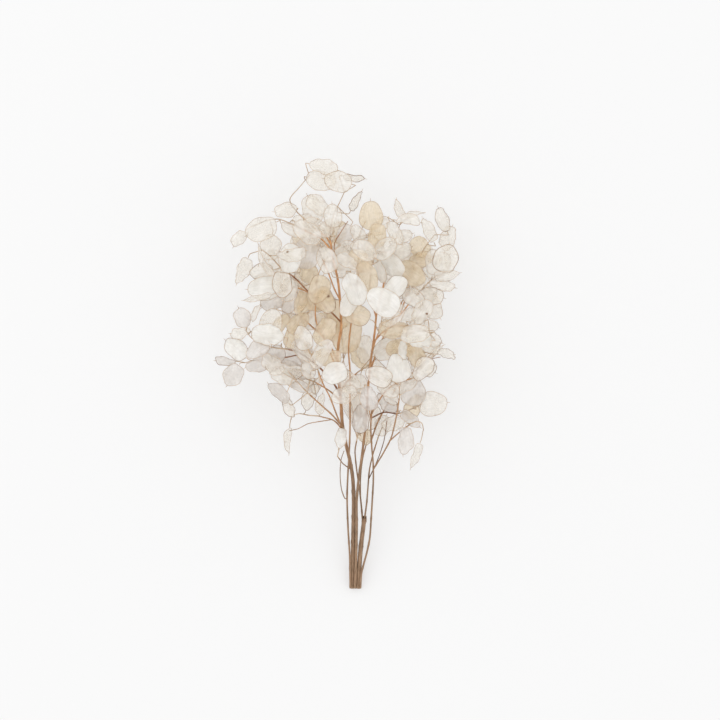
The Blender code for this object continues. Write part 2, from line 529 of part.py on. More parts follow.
def layout():
    """Every tube and pod of the bunch, in the photograph's own place."""
    room = Room()
    tubes = {}
    owners = {}
    for name, (first_diameter, last_diameter, route) in TRUNKS.items():
        tubes[name] = tube([place(point) for point in route], first_diameter * MM, last_diameter * MM)
        owners[name] = name
        room.add(name, tube_guard(tubes[name], TUBE_CLEAR))
    for name, spec in BRANCHES.items():
        lay_branch(room, name, spec, tubes, owners)
    sprays = {}
    for name, (parent, route, pods) in SPRAYS.items():
        sprays[name] = {"stalk": lay_rachis(room, name, parent, route, tubes, owners[parent]), "pods": []}
    read = [(name, number, pod) for name in SPRAYS for number, pod in enumerate(SPRAYS[name][2])]
    read.sort(key=lambda item: item[2][5] != "rests")
    for name, (parent, route, pods) in SPRAYS.items():
        read += [(name, len(pods) + number, pod) for number, pod in enumerate(further_pods(name, route))]
    for name, number, spec in read:
        pod = lay_pod(room, name, number, spec, sprays[name]["stalk"])
        if pod:
            pod["number"] = number
            sprays[name]["pods"].append(pod)
    stems = {name: [tubes[other] for other in tubes if owners[other] == name] for name in TRUNKS}
    return stems, sprays


def material(name, colour, roughness):
    """A plain finish."""
    made = bpy.data.materials.new(name)
    made.use_nodes = True
    shader = made.node_tree.nodes["Principled BSDF"]
    shader.inputs["Base Color"].default_value = (*colour, 1.0)
    shader.inputs["Roughness"].default_value = roughness
    return made


def as_mesh(obj, collection, in_triangles=True):
    """Turns a curve or an object with modifiers into a closed mesh object of the same name."""
    bpy.context.view_layer.update()
    evaluated = obj.evaluated_get(bpy.context.evaluated_depsgraph_get())
    mesh = bpy.data.meshes.new_from_object(evaluated)
    work = bmesh.new()
    work.from_mesh(mesh)
    bmesh.ops.remove_doubles(work, verts=work.verts, dist=0.00001)
    if in_triangles:
        bmesh.ops.triangulate(work, faces=work.faces)
    bmesh.ops.recalc_face_normals(work, faces=work.faces)
    work.to_mesh(mesh)
    work.free()
    name = obj.name
    bpy.data.objects.remove(obj)
    made = bpy.data.objects.new(name, mesh)
    collection.objects.link(made)
    return made


def tube_object(name, route, resolution, collection):
    """A tube along a route, with filled ends."""
    curve = bpy.data.curves.new(name, "CURVE")
    curve.dimensions = "3D"
    curve.bevel_depth = 1.0
    curve.bevel_resolution = resolution
    curve.use_fill_caps = True
    spline = curve.splines.new("POLY")
    spline.points.add(len(route["points"]) - 1)
    for knot, point, radius in zip(spline.points, route["points"], route["radii"]):
        knot.co = (*point, 1.0)
        knot.radius = radius
    obj = bpy.data.objects.new(name, curve)
    collection.objects.link(obj)
    return as_mesh(obj, collection)


def pod_wall(name, pod, collection):
    """A pod's papery wall: an open surface with an oval outline and a beak, thickened evenly."""
    sheet = bmesh.new()
    rim = pod_rim(pod)
    root = rim.pop(POD_CORNERS)
    aside = Vector((PEDICEL_DIAMETER / 2, 0, 0))
    rim[POD_CORNERS:POD_CORNERS] = [root + aside, root - aside]
    corners = [sheet.verts.new(point) for point in rim]
    middle = sheet.verts.new(pod_point(pod, 0, 0))
    for corner, vert in enumerate(corners):
        sheet.faces.new((vert, corners[(corner + 1) % len(corners)], middle))
    sheet.transform(pod["matrix"])
    mesh = bpy.data.meshes.new(name)
    sheet.to_mesh(mesh)
    sheet.free()
    obj = bpy.data.objects.new(name, mesh)
    collection.objects.link(obj)
    wall = obj.modifiers.new("Wall", "SOLIDIFY")
    wall.thickness = POD_THICKNESS
    wall.offset = 0
    return as_mesh(obj, collection, False), pod["matrix"] @ root


def pod_object(name, pod, collection):
    """A pod with its small stalk, drawn out of the narrow face at the pod's root along the stalk's route."""
    obj, root = pod_wall(name, pod, collection)
    work = bmesh.new()
    work.from_mesh(obj.data)
    end = min(work.faces, key=lambda face: (face.calc_center_median() - root).length)
    turned = pod["matrix"].to_3x3()
    across = turned @ Vector((1, 0, 0))
    up = turned @ Vector((0, 0, 1))
    points = pod["stalk"]["points"]
    for index in range(len(points) - 2, -1, -1):
        along = (points[index + 1] - points[index]).normalized()
        if index:
            along = (along + (points[index] - points[index - 1]).normalized()).normalized()
        next_across = (across - along * across.dot(along)).normalized()
        next_up = next_across.cross(along)
        end = bmesh.ops.extrude_discrete_faces(work, faces=[end])["faces"][0]
        middle = end.calc_center_median()
        for vert in end.verts:
            out = vert.co - middle
            aside = math.copysign(PEDICEL_WIDTH / 2, out.dot(across))
            rise = math.copysign(PEDICEL_WIDTH / 2, out.dot(up))
            vert.co = points[index] + next_across * aside + next_up * rise
        across, up = next_across, next_up
    bmesh.ops.triangulate(work, faces=work.faces)
    bmesh.ops.recalc_face_normals(work, faces=work.faces)
    work.to_mesh(obj.data)
    work.free()
    return obj


def fuse(name, pieces, finish, collection):
    """Joins the pieces of one stem or spray into one closed body."""
    body, others = pieces[0], pieces[1:]
    joined = bpy.data.collections.new(name + "_pieces")
    bpy.context.scene.collection.children.link(joined)
    for piece in others:
        joined.objects.link(piece)
    if others:
        union = body.modifiers.new("Union", "BOOLEAN")
        union.operation = "UNION"
        union.operand_type = "COLLECTION"
        union.collection = joined
        union.solver = "EXACT"
    bpy.context.view_layer.update()
    evaluated = body.evaluated_get(bpy.context.evaluated_depsgraph_get())
    mesh = bpy.data.meshes.new_from_object(evaluated)
    for piece in pieces:
        bpy.data.objects.remove(piece)
    bpy.data.collections.remove(joined)
    mesh.name = name
    mesh.materials.clear()
    mesh.materials.append(finish)
    made = bpy.data.objects.new(name, mesh)
    collection.objects.link(made)
    return made


def hollow_break(stem, route, collection):
    """Sinks the hollow pith into the snapped end of the thick stem."""
    end, before = route["points"][-1], route["points"][-2]
    along = (end - before).normalized()
    work = bmesh.new()
    bmesh.ops.create_cone(
        work,
        cap_ends=True,
        segments=8,
        radius1=HOLLOW_DIAMETER / 2 * 0.8,
        radius2=HOLLOW_DIAMETER / 2,
        depth=2 * HOLLOW_DEPTH,
    )
    mesh = bpy.data.meshes.new("hollow")
    work.to_mesh(mesh)
    work.free()
    cutter = bpy.data.objects.new("hollow", mesh)
    cutter.matrix_world = Matrix.Translation(end) @ along.to_track_quat("Z", "Y").to_matrix().to_4x4()
    collection.objects.link(cutter)
    cut = stem.modifiers.new("Hollow", "BOOLEAN")
    cut.operation = "DIFFERENCE"
    cut.object = cutter
    cut.solver = "EXACT"
    made = as_mesh(stem, collection)
    bpy.data.objects.remove(cutter)
    return made


def middle_of(stems, sprays):
    """The middle of the bunch's box on the surface, and its lowest point."""
    points = []
    for tubes in stems.values():
        points += [(point, radius) for route in tubes for point, radius in zip(route["points"], route["radii"])]
    for spray in sprays.values():
        for pod in spray["pods"]:
            points += [(pod["matrix"] @ corner, POD_THICKNESS / 2) for corner in pod_rim(pod)]
    low = [min(point[axis] - reach for point, reach in points) for axis in range(3)]
    high = [max(point[axis] + reach for point, reach in points) for axis in range(3)]
    return Vector(((low[0] + high[0]) / 2, (low[1] + high[1]) / 2, low[2]))


def main():
    for obj in list(bpy.data.objects):
        bpy.data.objects.remove(obj)
    bunch = bpy.data.collections.new("dried_honesty_bunch")
    bpy.context.scene.collection.children.link(bunch)
    wood = material("stem_wood", WOOD_COLOUR, 0.7)
    paper = material("pod_paper", PAPER_COLOUR, 0.45)
    stems, sprays = layout()
    made = []
    for name, tubes in stems.items():
        pieces = [
            tube_object(f"{name}_{number}", route, 0 if number else 1, bunch)
            for number, route in enumerate(tubes)
        ]
        if name == "stem_broken":
            pieces[0] = hollow_break(pieces[0], tubes[0], bunch)
        made.append(fuse(name, pieces, wood, bunch))
    for name, spray in sprays.items():
        pieces = [tube_object(name + "_stalk", spray["stalk"], 0, bunch)]
        for number, pod in enumerate(spray["pods"]):
            pieces.append(pod_object(f"{name}_pod_{number}", pod, bunch))
        made.append(fuse(name, pieces, paper, bunch))
    middle = middle_of(stems, sprays)
    for obj in made:
        obj.location = -middle
    bpy.context.view_layer.update()


if __name__ == "__main__":
    main()
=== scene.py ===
"""Looks of the dried honesty bunch: fine stems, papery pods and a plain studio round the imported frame.

Routes and pods are read off the photograph in its own 720 by 720 pixels, as in the construction.
"""

import math
import random

import bmesh
import bpy
from mathutils import Matrix, Vector
from mathutils.bvhtree import BVHTree

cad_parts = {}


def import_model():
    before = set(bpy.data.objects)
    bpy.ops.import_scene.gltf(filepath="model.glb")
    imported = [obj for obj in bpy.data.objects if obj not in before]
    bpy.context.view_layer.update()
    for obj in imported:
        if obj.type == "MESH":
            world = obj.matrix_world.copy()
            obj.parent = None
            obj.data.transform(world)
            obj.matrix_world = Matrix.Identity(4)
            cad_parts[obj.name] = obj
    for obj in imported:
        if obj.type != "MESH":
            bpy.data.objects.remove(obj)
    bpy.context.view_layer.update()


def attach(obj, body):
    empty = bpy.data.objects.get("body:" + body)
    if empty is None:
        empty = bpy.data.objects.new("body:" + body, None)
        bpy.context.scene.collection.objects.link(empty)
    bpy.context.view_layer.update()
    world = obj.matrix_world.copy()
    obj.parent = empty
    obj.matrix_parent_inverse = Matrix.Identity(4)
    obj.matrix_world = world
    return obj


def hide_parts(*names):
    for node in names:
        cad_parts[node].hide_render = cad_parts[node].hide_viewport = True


MM = 0.001

# Scale and middle of the photograph
PIXEL = 1.25 * MM
MIDDLE_COLUMN = 339.5
MIDDLE_ROW = 373.5

# How the bunch rises from the surface at its cut ends
CUT_ROW = 591.0
LEVEL_ROW = 300.0
CUT_HEIGHT = 8.0 * MM
LEVEL_HEIGHT = 82.0 * MM

# Pods
POD_THICKNESS = 0.7 * MM
POD_LEAST_LENGTH = 27.0 * MM
POD_SLENDERNESS = 0.74
POD_WIDTH_SPREAD = (0.94, 1.04)
POD_FULLNESS = 0.85
POD_CORNERS = 4
POD_CURL = 0.08
POD_CURL_MEAN = 0.4
POD_FOLD = 0.11
POD_FOLD_MEAN = 0.3
POD_TWIST = 0.09
POD_SKEW = (-0.16, 0.08)
POD_UNEVEN = 0.045
NEARLY_FLAT = 0.004
BEAK = 2.5 * MM
PEDICEL_DIAMETER = 1.1 * MM
PEDICEL_LEAST_BENT = 7 * MM
STRAIGHT_ENOUGH = 0.5
SHARPEST_TURN = -0.5
REACH_BEFORE_TURNING = 0.25
PEDICEL_TURN_WEIGHT = 1.5
PEDICEL_BEND_SHARE = 0.3
PEDICEL_BEND_MOST = 5 * MM
PEDICEL_FREE_SHARE = 0.8
JOINT_GAP = 0.3 * MM
STRAIGHT_LEAD = 2.5 * MM
RACHIS_DIAMETER = 1.7 * MM
RACHIS_TIP_DIAMETER = 0.9 * MM
STALK_POINTS_APART = 1.5 * MM

# Inside this oval of the head, each spray carries further pods besides those that can be told apart
FURTHER_PODS = 2
FURTHER_REACH = (12, 24)
FURTHER_LENGTH = (26, 33)
FURTHER_WIDTH = (0.45, 0.74)
FURTHER_AIM = (-25, 25)
FURTHER_DEPTH = (-16, 12)
GIVE_UP_SHARE = 0.02
HEAD_COLUMN = 345.0
HEAD_ROW = 312.0
HEAD_HALF_WIDTH = 88.0
HEAD_HALF_HEIGHT = 98.0

# Clear air round each tube and pod while the bunch is laid out
TUBE_CLEAR = 0.16 * MM
SPRAY_CLEAR = 0.5 * MM
POD_CLEAR = 1.3 * MM
OWN_POD_CLEAR = 0.2 * MM
OWN_STALK_CLEAR = 0.1 * MM
POD_GUARD_GROWTH = 1.04
LEAST_HEIGHT = 1.0 * MM
RAISED_HEIGHT = 1.5 * MM

# A tube that meets something is pushed in depth, by turns either way and further each time
PUSH = 1.5
PUSHES = 30

# A pod that meets something is tried again, moved and turned more each time up to these amounts
POD_TRIALS = 160
TRIALS_TO_FULL_REACH = 90
MOST_MOVED = 3.5
MOST_RAISED = 26
MOST_ROLLED = 25
MOST_PITCHED = 14
MOST_AIMED = 22

SEED = 41

# Stems: cut diameter and last diameter in millimetres, then the route
TRUNKS = {
    "stem_main": (5.6, 2.4, [
        (352.0, 591, -5.1), (352.6, 560, -5), (353.2, 530, -4), (353.6, 505, -3), (352.8, 480, -1),
        (350, 462, 0), (346, 445, 0), (342.4, 425, 0), (341, 405, 0), (339.6, 386, 0), (337.4, 361, 2),
        (338.4, 345, 4), (341, 330, 5), (341, 319, 7), (340, 300, 12), (338, 281, 18), (333.5, 260, 24),
        (330.4, 241, 27),
    ]),
    "stem_left": (2.5, 1.8, [
        (350.2, 591, -1.0), (350, 575, -0.9), (349.6, 556, -0.6), (348, 530, 0), (347, 500, 3),
        (347.6, 480, 6), (349, 455, 9), (350, 430, 11), (350, 400, 13), (350, 370, 14), (348.6, 350, 15),
        (351, 325, 17), (356, 295, 18), (358, 279, 18), (358.2, 266, 18),
    ]),
    "stem_middle": (3.7, 2.2, [
        (355.05, 591, -1.8), (355.9, 562, -1.7), (356.6, 530, -0.4), (356.6, 502, 2), (358.6, 480, 4),
        (361.4, 460, 4), (363.6, 443, 3), (365.4, 428, 2), (366.8, 408, 0), (368.4, 385, -2),
        (370.4, 364, -4), (373, 345, -6), (375, 330, -8), (376.6, 314, -9), (380.4, 298, -9),
        (384, 283, -9), (385, 276, -8),
    ]),
    "stem_broken": (6.0, 5.4, [
        (358.3, 591, -4.9), (359.2, 572, -5), (360.6, 552, -5), (362.4, 536, -5), (364.8, 517, -5),
    ]),
    "stem_right": (2.6, 1.9, [
        (360.4, 591, -0.4), (361.4, 576, 0), (363.8, 566, 0.6), (367, 554, 1), (369.8, 540, 1),
        (371.2, 520, 1), (372.4, 500, 1), (373.4, 480, 2), (373.2, 464, 3), (371.6, 445, 5),
        (370.8, 425, 8), (372, 409, 11),
    ]),
}

# Branches: the stem or branch that each grows from, the row where it leaves it, its diameters, its route
BRANCHES = {
    "main_top_left": ("stem_main", 246, 1.9, 1.6, [(326, 237, 22), (320, 233, 16)]),
    "main_left_upper": ("stem_main", 252, 2.0, 1.6, [(322, 240, 32), (311, 234, 36), (301, 229, 38)]),
    "main_far_left": ("stem_main", 322, 2.2, 1.7, [
        (331, 312, 16), (319, 301, 30), (307, 290.5, 38), (298, 281, 40), (291, 275, 40),
    ]),
    "main_left_middle": ("main_far_left", 296, 1.8, 1.5, [(305, 291, 30), (298, 288, 20)]),
    "main_left_low": ("stem_main", 396, 2.4, 1.7, [
        (335.4, 386, 12), (327, 375, 24), (318, 366, 32), (308, 358, 37), (297, 351.4, 38),
        (288.6, 349.6, 38),
    ]),
    "main_left_end": ("main_left_low", 354, 1.7, 1.5, [(293, 356, 22), (283, 358, 8)]),
    "main_middle_left": ("stem_main", 364, 2.1, 1.6, [
        (330, 345, -8), (320, 334, -16), (309, 324, -20), (303, 318, -20),
    ]),
    "main_middle_up": ("main_middle_left", 334, 1.8, 1.6, [
        (315.6, 318, 2), (316, 300, 22), (317, 285, 32),
    ]),
    "main_low_inner": ("stem_main", 402, 1.9, 1.6, [(332, 393, -16), (323, 387, -30), (316, 383, -36)]),
    "main_low_left": ("stem_main", 428, 2.0, 1.6, [(333, 416, 4), (321, 405, 8), (310, 395, 10)]),
    "main_centre": ("stem_main", 434, 2.1, 1.6, [
        (336, 413, 18), (329.6, 396, 34), (323, 383, 44), (319, 372, 48),
    ]),
    "main_lowest_left": ("stem_main", 432, 1.9, 1.5, [(334, 421, -12), (321, 417, -20)]),
    "main_inner_right": ("stem_main", 393, 1.9, 1.6, [(345, 384, -18), (352, 377, -34), (357, 373, -38)]),
    "main_front": ("stem_main", 374, 1.9, 1.6, [(340, 369, -14), (342, 364, -24)]),
    "main_stub": ("stem_main", 470, 1.6, 1.4, [(343, 464, 9), (338.6, 458, 13)]),
    "main_under": ("stem_main", 375, 2.1, 1.7, [
        (333, 360, -22), (326, 342, -42), (318, 322, -50), (310, 306, -54),
    ]),
    "main_under_top": ("stem_main", 300, 2.0, 1.7, [(334, 288, -22), (328, 272, -44), (322, 258, -52)]),
    "left_side": ("stem_left", 300, 1.7, 1.5, [(352, 290, 34), (350, 282, 42)]),
    "middle_up": ("stem_middle", 318, 1.9, 1.6, [(373, 306, 10), (370, 294, 26)]),
    "middle_right": ("stem_middle", 342, 2.2, 1.7, [
        (383, 332, 2), (391, 326, 6), (398, 318, 8), (405, 309, 9), (411, 301, 9),
    ]),
    "middle_right_high": ("middle_right", 316, 1.8, 1.6, [(404, 303, -16), (407, 292, -26)]),
    "middle_right_low": ("middle_right", 329, 1.8, 1.5, [(396, 326, 26), (405, 326, 36)]),
    "middle_front": ("stem_middle", 352, 1.9, 1.6, [(375, 342, 20), (378, 334, 42)]),
    "middle_under": ("stem_middle", 372, 2.1, 1.7, [
        (377, 352, -28), (385, 334, -46), (394, 316, -54), (402, 302, -56),
    ]),
    "broken_left": ("stem_broken", 530, 2.4, 1.6, [
        (361.6, 510, -12), (359.4, 490, -14), (356.6, 470, -10), (355, 452, -2), (356.6, 441, 10),
    ]),
    "broken_right": ("stem_broken", 527, 2.3, 1.6, [
        (366.6, 505, -6), (368, 488, -10), (369.6, 470, -14), (373, 455, -18), (377, 442, -20),
    ]),
    "broken_tip": ("broken_left", 500, 1.7, 1.5, [(360.6, 478, -24), (363, 458, -26), (366.6, 444, -28)]),
    "right_outer": ("stem_right", 414, 1.9, 1.6, [
        (378, 402, 22), (385, 392, 24), (392.6, 385.4, 24), (401, 381.4, 24), (411, 378.6, 24),
    ]),
    "right_low": ("stem_right", 418, 1.8, 1.5, [(384, 412.6, -8), (396, 414, -20)]),
    "right_bow": ("stem_right", 470, 2.0, 1.6, [
        (384, 452, 14), (391, 438, 20), (394.4, 425, 26), (397, 412, 32), (399, 399, 34),
    ]),
    "right_drop": ("right_bow", 441, 1.7, 1.5, [(399, 432.4, 30), (409, 424.6, 36)]),
    "right_inner": ("stem_right", 420, 1.7, 1.5, [(368, 404, 26), (364.6, 394, 38)]),
    "left_hook": ("stem_left", 500, 1.3, 0.9, [
        (344.6, 499, 4), (341.4, 490, 5), (340, 475, 8), (341, 460, 10), (344, 451, 12),
    ]),
    "main_fork": ("stem_main", 262, 1.4, 0.8, [(335, 243, 32), (341, 233, 36), (348, 222, 38)]),
    "main_low_twig": ("main_lowest_left", 420, 1.2, 0.8, [
        (308, 424, -18), (298, 429, -16), (289, 431, -16),
    ]),
    "left_upper_twig": ("stem_left", 276, 1.2, 0.8, [(363, 268, 22), (368, 262, 26)]),
    "broken_twig": ("broken_right", 480, 1.3, 0.9, [(377, 462, -4), (384, 441, 2), (387, 421, 4)]),
    "right_outer_twig": ("right_outer", 382, 1.3, 0.8, [(417, 369, 34), (428, 360, 40), (440, 357, 42)]),
    "right_under": ("stem_right", 440, 2.0, 1.6, [
        (378, 422, -22), (388, 404, -42), (397, 386, -52), (406, 368, -56),
    ]),
}

# Sprays: the stem or branch whose end carries each, the raceme's route, and its pods.
# A pod is its middle's column and row, its length and shown width in pixels, where its tip points in degrees
# from photo right towards photo top, and how far in millimetres it lies in front of its stalk's root,
# or that it rests on the surface.
SPRAYS = {
    "spray_top_left": ("main_top_left", [
        (308, 222, 10), (297, 212, 10), (290, 200, 9), (300, 187, 8), (310, 175, 6),
    ], [
        (322, 166, 29, 17, 335, -4), (321, 181, 30, 20, 348, 8), (286, 210, 23, 16, 190, 0),
        (304, 222, 24, 16, 20, -14),
    ]),
    "spray_top": ("stem_main", [(331, 228, 24), (334, 215, 18), (340, 202, 10), (345, 191, 4)], [
        (338, 185, 28, 19, 150, 4), (352, 180, 21, 6, 355, 0), (333, 217, 24, 18, 94, 14),
        (344, 236, 22, 17, 60, 8), (356, 201, 22, 7, 60, -6), (318, 205, 26, 18, 140, -10),
    ]),
    "spray_left_upper": ("main_left_upper", [(290, 224, 38), (279, 220, 34), (266, 221, 26)], [
        (262, 230, 33, 24, 205, 6), (291, 230, 24, 13, 340, 8), (271, 248, 26, 22, 262, -8),
        (240, 239, 19, 13, 230, -4),
    ]),
    "spray_far_left": ("main_far_left", [(281, 268, 40), (272, 258, 39), (262, 250, 36)], [
        (290, 260, 30, 23, 258, 12), (266, 262, 35, 6, 118, 12), (243, 271, 28, 13, 245, -4),
        (262, 272, 24, 16, 190, -9), (307, 254, 33, 28, 70, -12),
    ]),
    "spray_left_middle": ("main_left_middle", [(288, 286, 12), (277, 285, 10), (266, 284, 8)], [
        (265, 288, 34, 24, 186, 16), (273, 300, 27, 20, 214, -8), (290, 289, 25, 17, 250, 14),
        (291, 303, 24, 15, 240, -2),
    ]),
    "spray_left_low": ("main_left_low", [
        (276, 348, 37), (264, 345, 35), (252, 338, 30), (246, 330, 26),
    ], [
        (268, 335, 33, 21, 172, 8), (243, 318, 20, 18, 110, 6), (256, 313, 16, 8, 50, -6),
        (241, 333, 20, 12, 185, -10), (258, 349, 26, 17, 215, 10), (275, 358, 28, 18, 250, -8),
    ]),
    "spray_left_end": ("main_left_end", [(270, 359, -2), (256, 360, -8), (244, 363, -12)], [
        (236, 349, 27, 20, 140, 8), (233, 375, 24, 20, 240, 0), (225, 361, 20, 9, 178, -9),
        (259, 363, 29, 16, 205, 12), (292, 359, 27, 15, 165, 12),
    ]),
    "spray_middle_left": ("main_middle_left", [(292, 314, -22), (282, 311, -24), (272, 308, -26)], [
        (298, 322, 26, 16, 235, 10), (293, 336, 27, 18, 245, -6), (282, 323, 26, 13, 225, 6),
        (289, 312, 22, 8, 130, 12), (306, 308, 28, 20, 60, -4),
    ]),
    "spray_middle_up": ("main_middle_up", [
        (319, 274, 36), (325, 261, 38), (333, 252, 38), (341, 246, 36),
    ], [
        (319, 290, 29, 21, 250, 14), (300, 302, 24, 12, 255, -6), (347, 262, 24, 14, 330, 10),
        (345, 250, 24, 15, 40, -10), (326, 300, 28, 20, 300, -8),
    ]),
    "spray_low_inner": ("main_low_inner", [(305, 379, -38), (295, 376, -38), (286, 376, -38)], [
        (300, 375, 23, 10, 165, 12), (302, 386, 24, 11, 150, 8), (316, 388, 20, 12, 250, -6),
    ]),
    "spray_low_left": ("main_low_left", [(303, 388, 12), (296, 380, 12), (288, 371, 12)], [
        (279, 393, 27, 13, 137, 6), (303, 351, 27, 18, 120, -6), (290, 407, 20, 10, 285, 2),
    ]),
    "spray_centre": ("main_centre", [(314.6, 361, 50), (309, 350, 50), (304, 342, 48)], [
        (322, 354, 33, 17, 60, 8), (335, 373, 26, 22, 30, 4), (304, 338, 26, 18, 110, 8),
        (325, 332, 30, 21, 62, -10),
    ]),
    "spray_lowest_left": ("main_lowest_left", [(309, 415.6, -22), (298, 414, -24), (290, 417, -24)], [
        (288, 441, 26, 7, 268, 0), (321, 404, 22, 9, 80, 8),
    ]),
    "spray_inner_right": ("main_inner_right", [(363, 369, -40), (371, 363, -40), (378, 357, -40)], [
        (378, 370, 22, 16, 310, 10), (358, 385, 22, 18, 255, 10), (387, 351, 28, 22, 40, 12),
        (366, 350, 30, 20, 100, -8),
    ]),
    "spray_front": ("main_front", [(343, 361, -30), (344, 358, -34)], [
        (347, 335, 38, 30, 78, 4), (328, 326, 32, 23, 135, 0), (358, 354, 28, 18, 320, 2),
        (338, 314, 32, 23, 100, -8),
    ]),
    "spray_stub": ("main_stub", [(338.4, 452, 14), (340, 446, 15)], [(341, 438, 21, 12, 80, 2)]),
    "spray_under": ("main_under", [(304, 294, -56), (296, 282, -57), (286, 272, -58)], [
        (277, 262, 32, 24, 150, "rests"), (306, 276, 30, 22, 70, 12), (286, 296, 30, 22, 200, 6),
        (318, 300, 30, 22, 30, 8), (268, 280, 28, 20, 190, 14),
    ]),
    "spray_under_top": ("main_under_top", [(318, 246, -56), (318, 234, -58), (320, 222, -58)], [
        (334, 232, 30, 22, 40, 8), (306, 240, 30, 22, 160, 6), (312, 208, 30, 22, 110, 4),
        (334, 252, 28, 20, 10, 12),
    ]),
    "spray_left_stem": ("stem_left", [(358.4, 255, 18), (358, 244, 18), (361, 231, 18), (366, 221, 16)], [
        (358, 236, 20, 14, 120, 12), (371, 216, 29, 24, 92, 4), (380, 226, 24, 14, 45, -8),
        (345, 269, 26, 16, 185, -8), (368, 251, 24, 13, 125, 8),
    ]),
    "spray_left_side": ("left_side", [(350, 276, 44), (351, 271, 45)], [
        (354, 290, 35, 22, 292, 8), (350, 304, 28, 18, 240, 2),
    ]),
    "spray_middle": ("stem_middle", [(387, 266, -6), (391, 252, -4), (396, 238, -2), (400, 224, 0)], [
        (391, 267, 32, 19, 318, 10), (399, 252, 27, 20, 20, 8), (380, 270, 26, 12, 110, 12),
        (392, 231, 26, 11, 118, 8), (407, 222, 24, 13, 350, 8), (399, 209, 19, 9, 102, 0),
        (416, 214, 16, 6, 20, -6), (402, 237, 22, 14, 20, -10),
    ]),
    "spray_middle_high": ("middle_up", [(370, 282, 34), (371, 270, 36), (374, 258, 36), (376, 248, 34)], [
        (367, 277, 31, 20, 110, 10), (377, 237, 26, 19, 85, 6), (384, 250, 27, 17, 50, -8),
        (362, 262, 27, 17, 140, -6),
    ]),
    "spray_right_upper": ("middle_right", [(419, 293, 8), (427, 284, 8), (437, 275, 6)], [
        (431, 296, 25, 17, 350, 10), (442, 285, 26, 11, 350, -6), (446, 276, 26, 11, 8, 6),
        (446, 259, 29, 25, 75, 8), (434, 262, 26, 17, 95, -8), (412, 298, 25, 17, 320, 12),
    ]),
    "spray_right_top": ("middle_right_high", [
        (410, 280, -30), (415, 266, -32), (421, 254, -32), (428, 243, -32), (436, 233, -32),
    ], [
        (412, 275, 31, 24, 145, 14), (421, 260, 25, 16, 20, 10), (420, 245, 26, 22, 130, 10),
        (428, 231, 26, 11, 122, 8), (443, 219, 25, 13, 110, 2), (448, 237, 26, 15, 70, 6),
        (405, 262, 28, 20, 150, -8),
    ]),
    "spray_right_middle": ("middle_right_low", [(414, 327, 40), (423, 330, 40), (430, 334, 38)], [
        (422, 313, 27, 17, 60, 6), (413, 324, 24, 12, 10, -6), (418, 340, 27, 17, 178, 10),
        (432, 340, 22, 15, 330, 6), (403, 350, 19, 10, 262, 2),
    ]),
    "spray_front_right": ("middle_front", [(380, 328, 54), (382, 323, 60)], [
        (385, 305, 36, 25, 160, 8), (395, 289, 29, 20, 50, -12), (357, 316, 28, 20, 165, -16),
    ]),
    "spray_under_right": ("middle_under", [(409, 292, -58), (417, 282, -58), (426, 273, -58)], [
        (438, 264, 32, 24, 40, "rests"), (398, 284, 30, 22, 120, 10), (424, 296, 30, 22, 330, 6),
        (412, 264, 30, 22, 100, 6),
    ]),
    "spray_broken_left": ("broken_left", [(358.6, 433, 16), (361, 427, 18)], [
        (361, 418, 29, 18, 84, 4), (348, 410, 27, 11, 108, -6),
    ]),
    "spray_broken_right": ("broken_right", [(379, 436, -22), (381, 431, -22)], [
        (383, 425, 22, 16, 70, 2), (394, 424, 24, 16, 20, -6),
    ]),
    "spray_broken_tip": ("broken_tip", [(367, 438, -28), (368, 433, -28)], [
        (364, 437, 20, 12, 150, 6), (372, 418, 26, 18, 75, -4),
    ]),
    "spray_right_outer": ("right_outer", [(417, 371, 26), (424, 361, 26), (432, 353, 26)], [
        (424, 371, 27, 20, 40, 4), (414, 355, 26, 18, 120, 8), (446, 354, 16, 11, 0, 4),
        (434, 352, 24, 10, 20, -8), (400, 352, 28, 20, 165, -12),
    ]),
    "spray_right_low": ("right_low", [(405, 412, -24), (415, 408, -26), (424, 404, -28)], [
        (433, 404, 30, 25, 5, 8), (413, 391, 31, 26, 100, 12), (414, 406, 27, 16, 60, -6),
        (411, 419, 24, 12, 320, 8), (388, 405, 26, 15, 150, 10),
    ]),
    "spray_right_bow": ("right_bow", [(399, 391, 35), (400, 384, 36)], [
        (398, 368, 30, 25, 100, 6), (388, 387, 25, 16, 150, 2),
    ]),
    "spray_right_drop": ("right_drop", [(417, 421, 38), (421.6, 423, 38), (423.4, 430, 36)], [
        (405, 440, 28, 16, 265, 4), (416, 455, 26, 9, 250, 2),
    ]),
    "spray_right_inner": ("right_inner", [(364, 391, 46), (363, 388, 54)], [(368, 398, 25, 18, 290, 4)]),
    "spray_under_low": ("right_under", [(409, 358, -58), (411, 348, -60), (412, 338, -60)], [
        (412, 322, 30, 22, 85, 4), (426, 348, 30, 22, 20, 8), (395, 346, 30, 22, 160, 6),
        (424, 366, 28, 20, 330, 10),
    ]),
}


def lift(row):
    """Height of the bunch's own line above the surface at a row of the photograph."""
    share = min(1.0, (CUT_ROW - row) / (CUT_ROW - LEVEL_ROW))
    return CUT_HEIGHT + (LEVEL_HEIGHT - CUT_HEIGHT) * math.sin(share * math.pi / 2)


def place(point):
    """The point in metres for a column, a row and a depth in millimetres."""
    column, row, depth = point
    return Vector((
        (column - MIDDLE_COLUMN) * PIXEL,
        (MIDDLE_ROW - row) * PIXEL,
        lift(row) + depth * MM,
    ))


def tube(points, first_diameter, last_diameter):
    """A tapering tube: its points, and its radius at each of them."""
    lengths = [0.0]
    for a, b in zip(points, points[1:]):
        lengths.append(lengths[-1] + (b - a).length)
    radii = [
        (first_diameter + (last_diameter - first_diameter) * reached / lengths[-1]) / 2
        for reached in lengths
    ]
    return {"points": points, "radii": radii}


